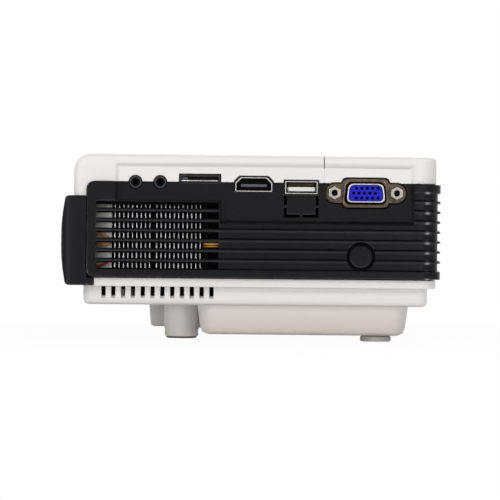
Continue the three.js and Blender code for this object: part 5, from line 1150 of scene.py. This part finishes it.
make_lead(
    "led_wire_orange", "led_lead_orange",
    [(-50.6, -62.2, 39), (-53, -62.4, 41.5), (-58, -62.6, 41), (-65.8, -64, 39), (-66.2, -76, 38), (-66, -88, 38),
     (-62, -92.6, 38.2), (-58.5, -93.2, 38.4), (-55.8, -92.8, 39.6), (-57.2, -92, 41.0), (-60, -92, 42.2),
     (-63, -91.8, 43.4), (-66.6, -90.5, 48), (-66.7, -89, 58), (-66.7, -88, 65.6)], LAMP_LEAD_RADIUS,
    MATERIALS["orange_insulation"], stands_for=True)
make_lead(
    "led_wire_red", "led_lead_red",
    [(-50.6, -62.2, 31), (-54, -62.4, 29.4), (-60, -62.8, 29.2), (-65.6, -65, 29.2), (-66, -80, 29.2),
     (-65.5, -90, 29.4), (-61.5, -92.8, 29.6), (-57.6, -93, 31.0), (-58.5, -92, 32.2), (-62, -91.5, 32.0),
     (-66.4, -90.6, 35), (-66.6, -93, 46), (-66.6, -93.3, 56), (-66.6, -92, 65.6)], LAMP_LEAD_RADIUS,
    MATERIALS["red_insulation"], stands_for=True)
make_lead(
    "fan_lead_yellow", "main_board",
    [(-17.5, -62.6, 44), (-17.8, -72, 40.5), (-19.2, -88, 39.2), (-19.4, -95.9, 39.05), (-16, -96.2, 39.0),
     (-12, -96.2, 39.0), (-7, -94.5, 40), (-3.5, -91, 48), (-3.5, -89, 58), (-3.5, -86, 66.7)], FAN_LEAD_RADIUS,
    YELLOW_LEAD)
make_lead(
    "fan_lead_orange", "main_board",
    [(-16.2, -62.6, 43), (-16.5, -72, 39.4), (-19.2, -87, 38.2), (-19.6, -95.8, 38.1), (-15.5, -96.1, 38.05),
     (-10.5, -96.1, 38.05), (-4.5, -94, 39.4), (-2.0, -91, 48), (-2.0, -89, 58), (-2.0, -86, 66.7)], FAN_LEAD_RADIUS,
    MATERIALS["orange_insulation"])

# The CAD solids' own finishes
for node_name, cad_object in NODES.items():
    cad_object.data.materials.clear()
    cad_object.data.materials.append(MATERIALS[SLOT_OF[node_name]])


# ---- floor, light and camera ----

def backdrop_mix(tree, plain, lit, factor=1.0):
    """Shows one shader to the camera, to gloss and through glass, and the other to the light itself."""
    path = tree.nodes.new("ShaderNodeLightPath")
    seen = math_node(tree, "ADD", path.outputs["Is Camera Ray"], path.outputs["Is Glossy Ray"])
    seen = math_node(tree, "ADD", seen, path.outputs["Is Transmission Ray"], clamp=True)
    share = math_node(tree, "MULTIPLY", seen, factor, clamp=True)
    mixer = tree.nodes.new("ShaderNodeMixShader")
    tree.links.new(share, mixer.inputs["Fac"])
    tree.links.new(lit, mixer.inputs[1])
    tree.links.new(plain, mixer.inputs[2])
    return mixer.outputs["Shader"]


def make_floor():
    """The pale floor: it keeps the object's shadow near it and fades to white away from it."""
    made = bmesh.new()
    bmesh.ops.create_grid(made, x_segments=4, y_segments=4, size=FLOOR_SIZE / 2)
    mesh = bpy.data.meshes.new("floor")
    made.to_mesh(mesh)
    made.free()
    floor = bpy.data.objects.new("floor", mesh)
    bpy.context.scene.collection.objects.link(floor)
    material, tree, shader = new_material("pale_floor")
    shader.inputs["Base Color"].default_value = (*FLOOR_COLOUR, 1)
    shader.inputs["Roughness"].default_value = 0.9
    shader.inputs["Specular IOR Level"].default_value = 0.0
    white = tree.nodes.new("ShaderNodeEmission")
    white.inputs["Color"].default_value = WHITE
    coordinates = tree.nodes.new("ShaderNodeTexCoord")
    reach = tree.nodes.new("ShaderNodeVectorMath")
    reach.operation = "LENGTH"
    tree.links.new(coordinates.outputs["Object"], reach.inputs[0])
    fade = tree.nodes.new("ShaderNodeMapRange")
    fade.inputs["From Min"].default_value = FLOOR_FADE_START
    fade.inputs["From Max"].default_value = FLOOR_FADE_END
    fade.inputs["To Min"].default_value = FLOOR_NEAR_SHARE
    fade.inputs["To Max"].default_value = 1.0
    tree.links.new(reach.outputs["Value"], fade.inputs["Value"])
    mixed = backdrop_mix(tree, white.outputs["Emission"], shader.outputs["BSDF"], fade.outputs["Result"])
    tree.links.new(mixed, tree.nodes["Material Output"].inputs["Surface"])
    mesh.materials.append(material)


def make_world():
    """Plain soft light from all round, seen as white."""
    world = bpy.data.worlds.new("studio")
    world.use_nodes = True
    tree = world.node_tree
    soft = tree.nodes["Background"]
    soft.inputs["Color"].default_value = WHITE
    soft.inputs["Strength"].default_value = AMBIENT
    white = tree.nodes.new("ShaderNodeBackground")
    white.inputs["Color"].default_value = WHITE
    mixed = backdrop_mix(tree, white.outputs["Background"], soft.outputs["Background"])
    tree.links.new(mixed, tree.nodes["World Output"].inputs["Surface"])
    bpy.context.scene.world = world


def soft_lamp(name, place, target, size, power):
    """A round soft lamp that faces a point."""
    light = bpy.data.lights.new(name, "AREA")
    light.shape = "DISK"
    light.size = size
    light.energy = power
    lamp = bpy.data.objects.new(name, light)
    lamp.location = place
    lamp.rotation_mode = "QUATERNION"
    lamp.rotation_quaternion = (Vector(target) - Vector(place)).to_track_quat("-Z", "Y")
    bpy.context.scene.collection.objects.link(lamp)


def make_camera():
    """The camera at the photograph's view of the connector side."""
    data = bpy.data.cameras.new("photo_view")
    data.lens = CAMERA_LENS
    data.sensor_width = 36
    data.clip_start = 0.05
    data.clip_end = 50
    camera = bpy.data.objects.new("photo_view", data)
    camera.matrix_world = (
        Matrix.Translation(CAMERA_PLACE)
        @ Matrix.Rotation(math.radians(90), 4, "X")
        @ Matrix.Rotation(math.radians(CAMERA_ROLL), 4, "Z")
    )
    bpy.context.scene.collection.objects.link(camera)
    bpy.context.scene.camera = camera


make_floor()
make_world()
for lamp_row in LAMPS:
    soft_lamp(*lamp_row)
make_camera()
bpy.context.scene.view_settings.view_transform = "Standard"
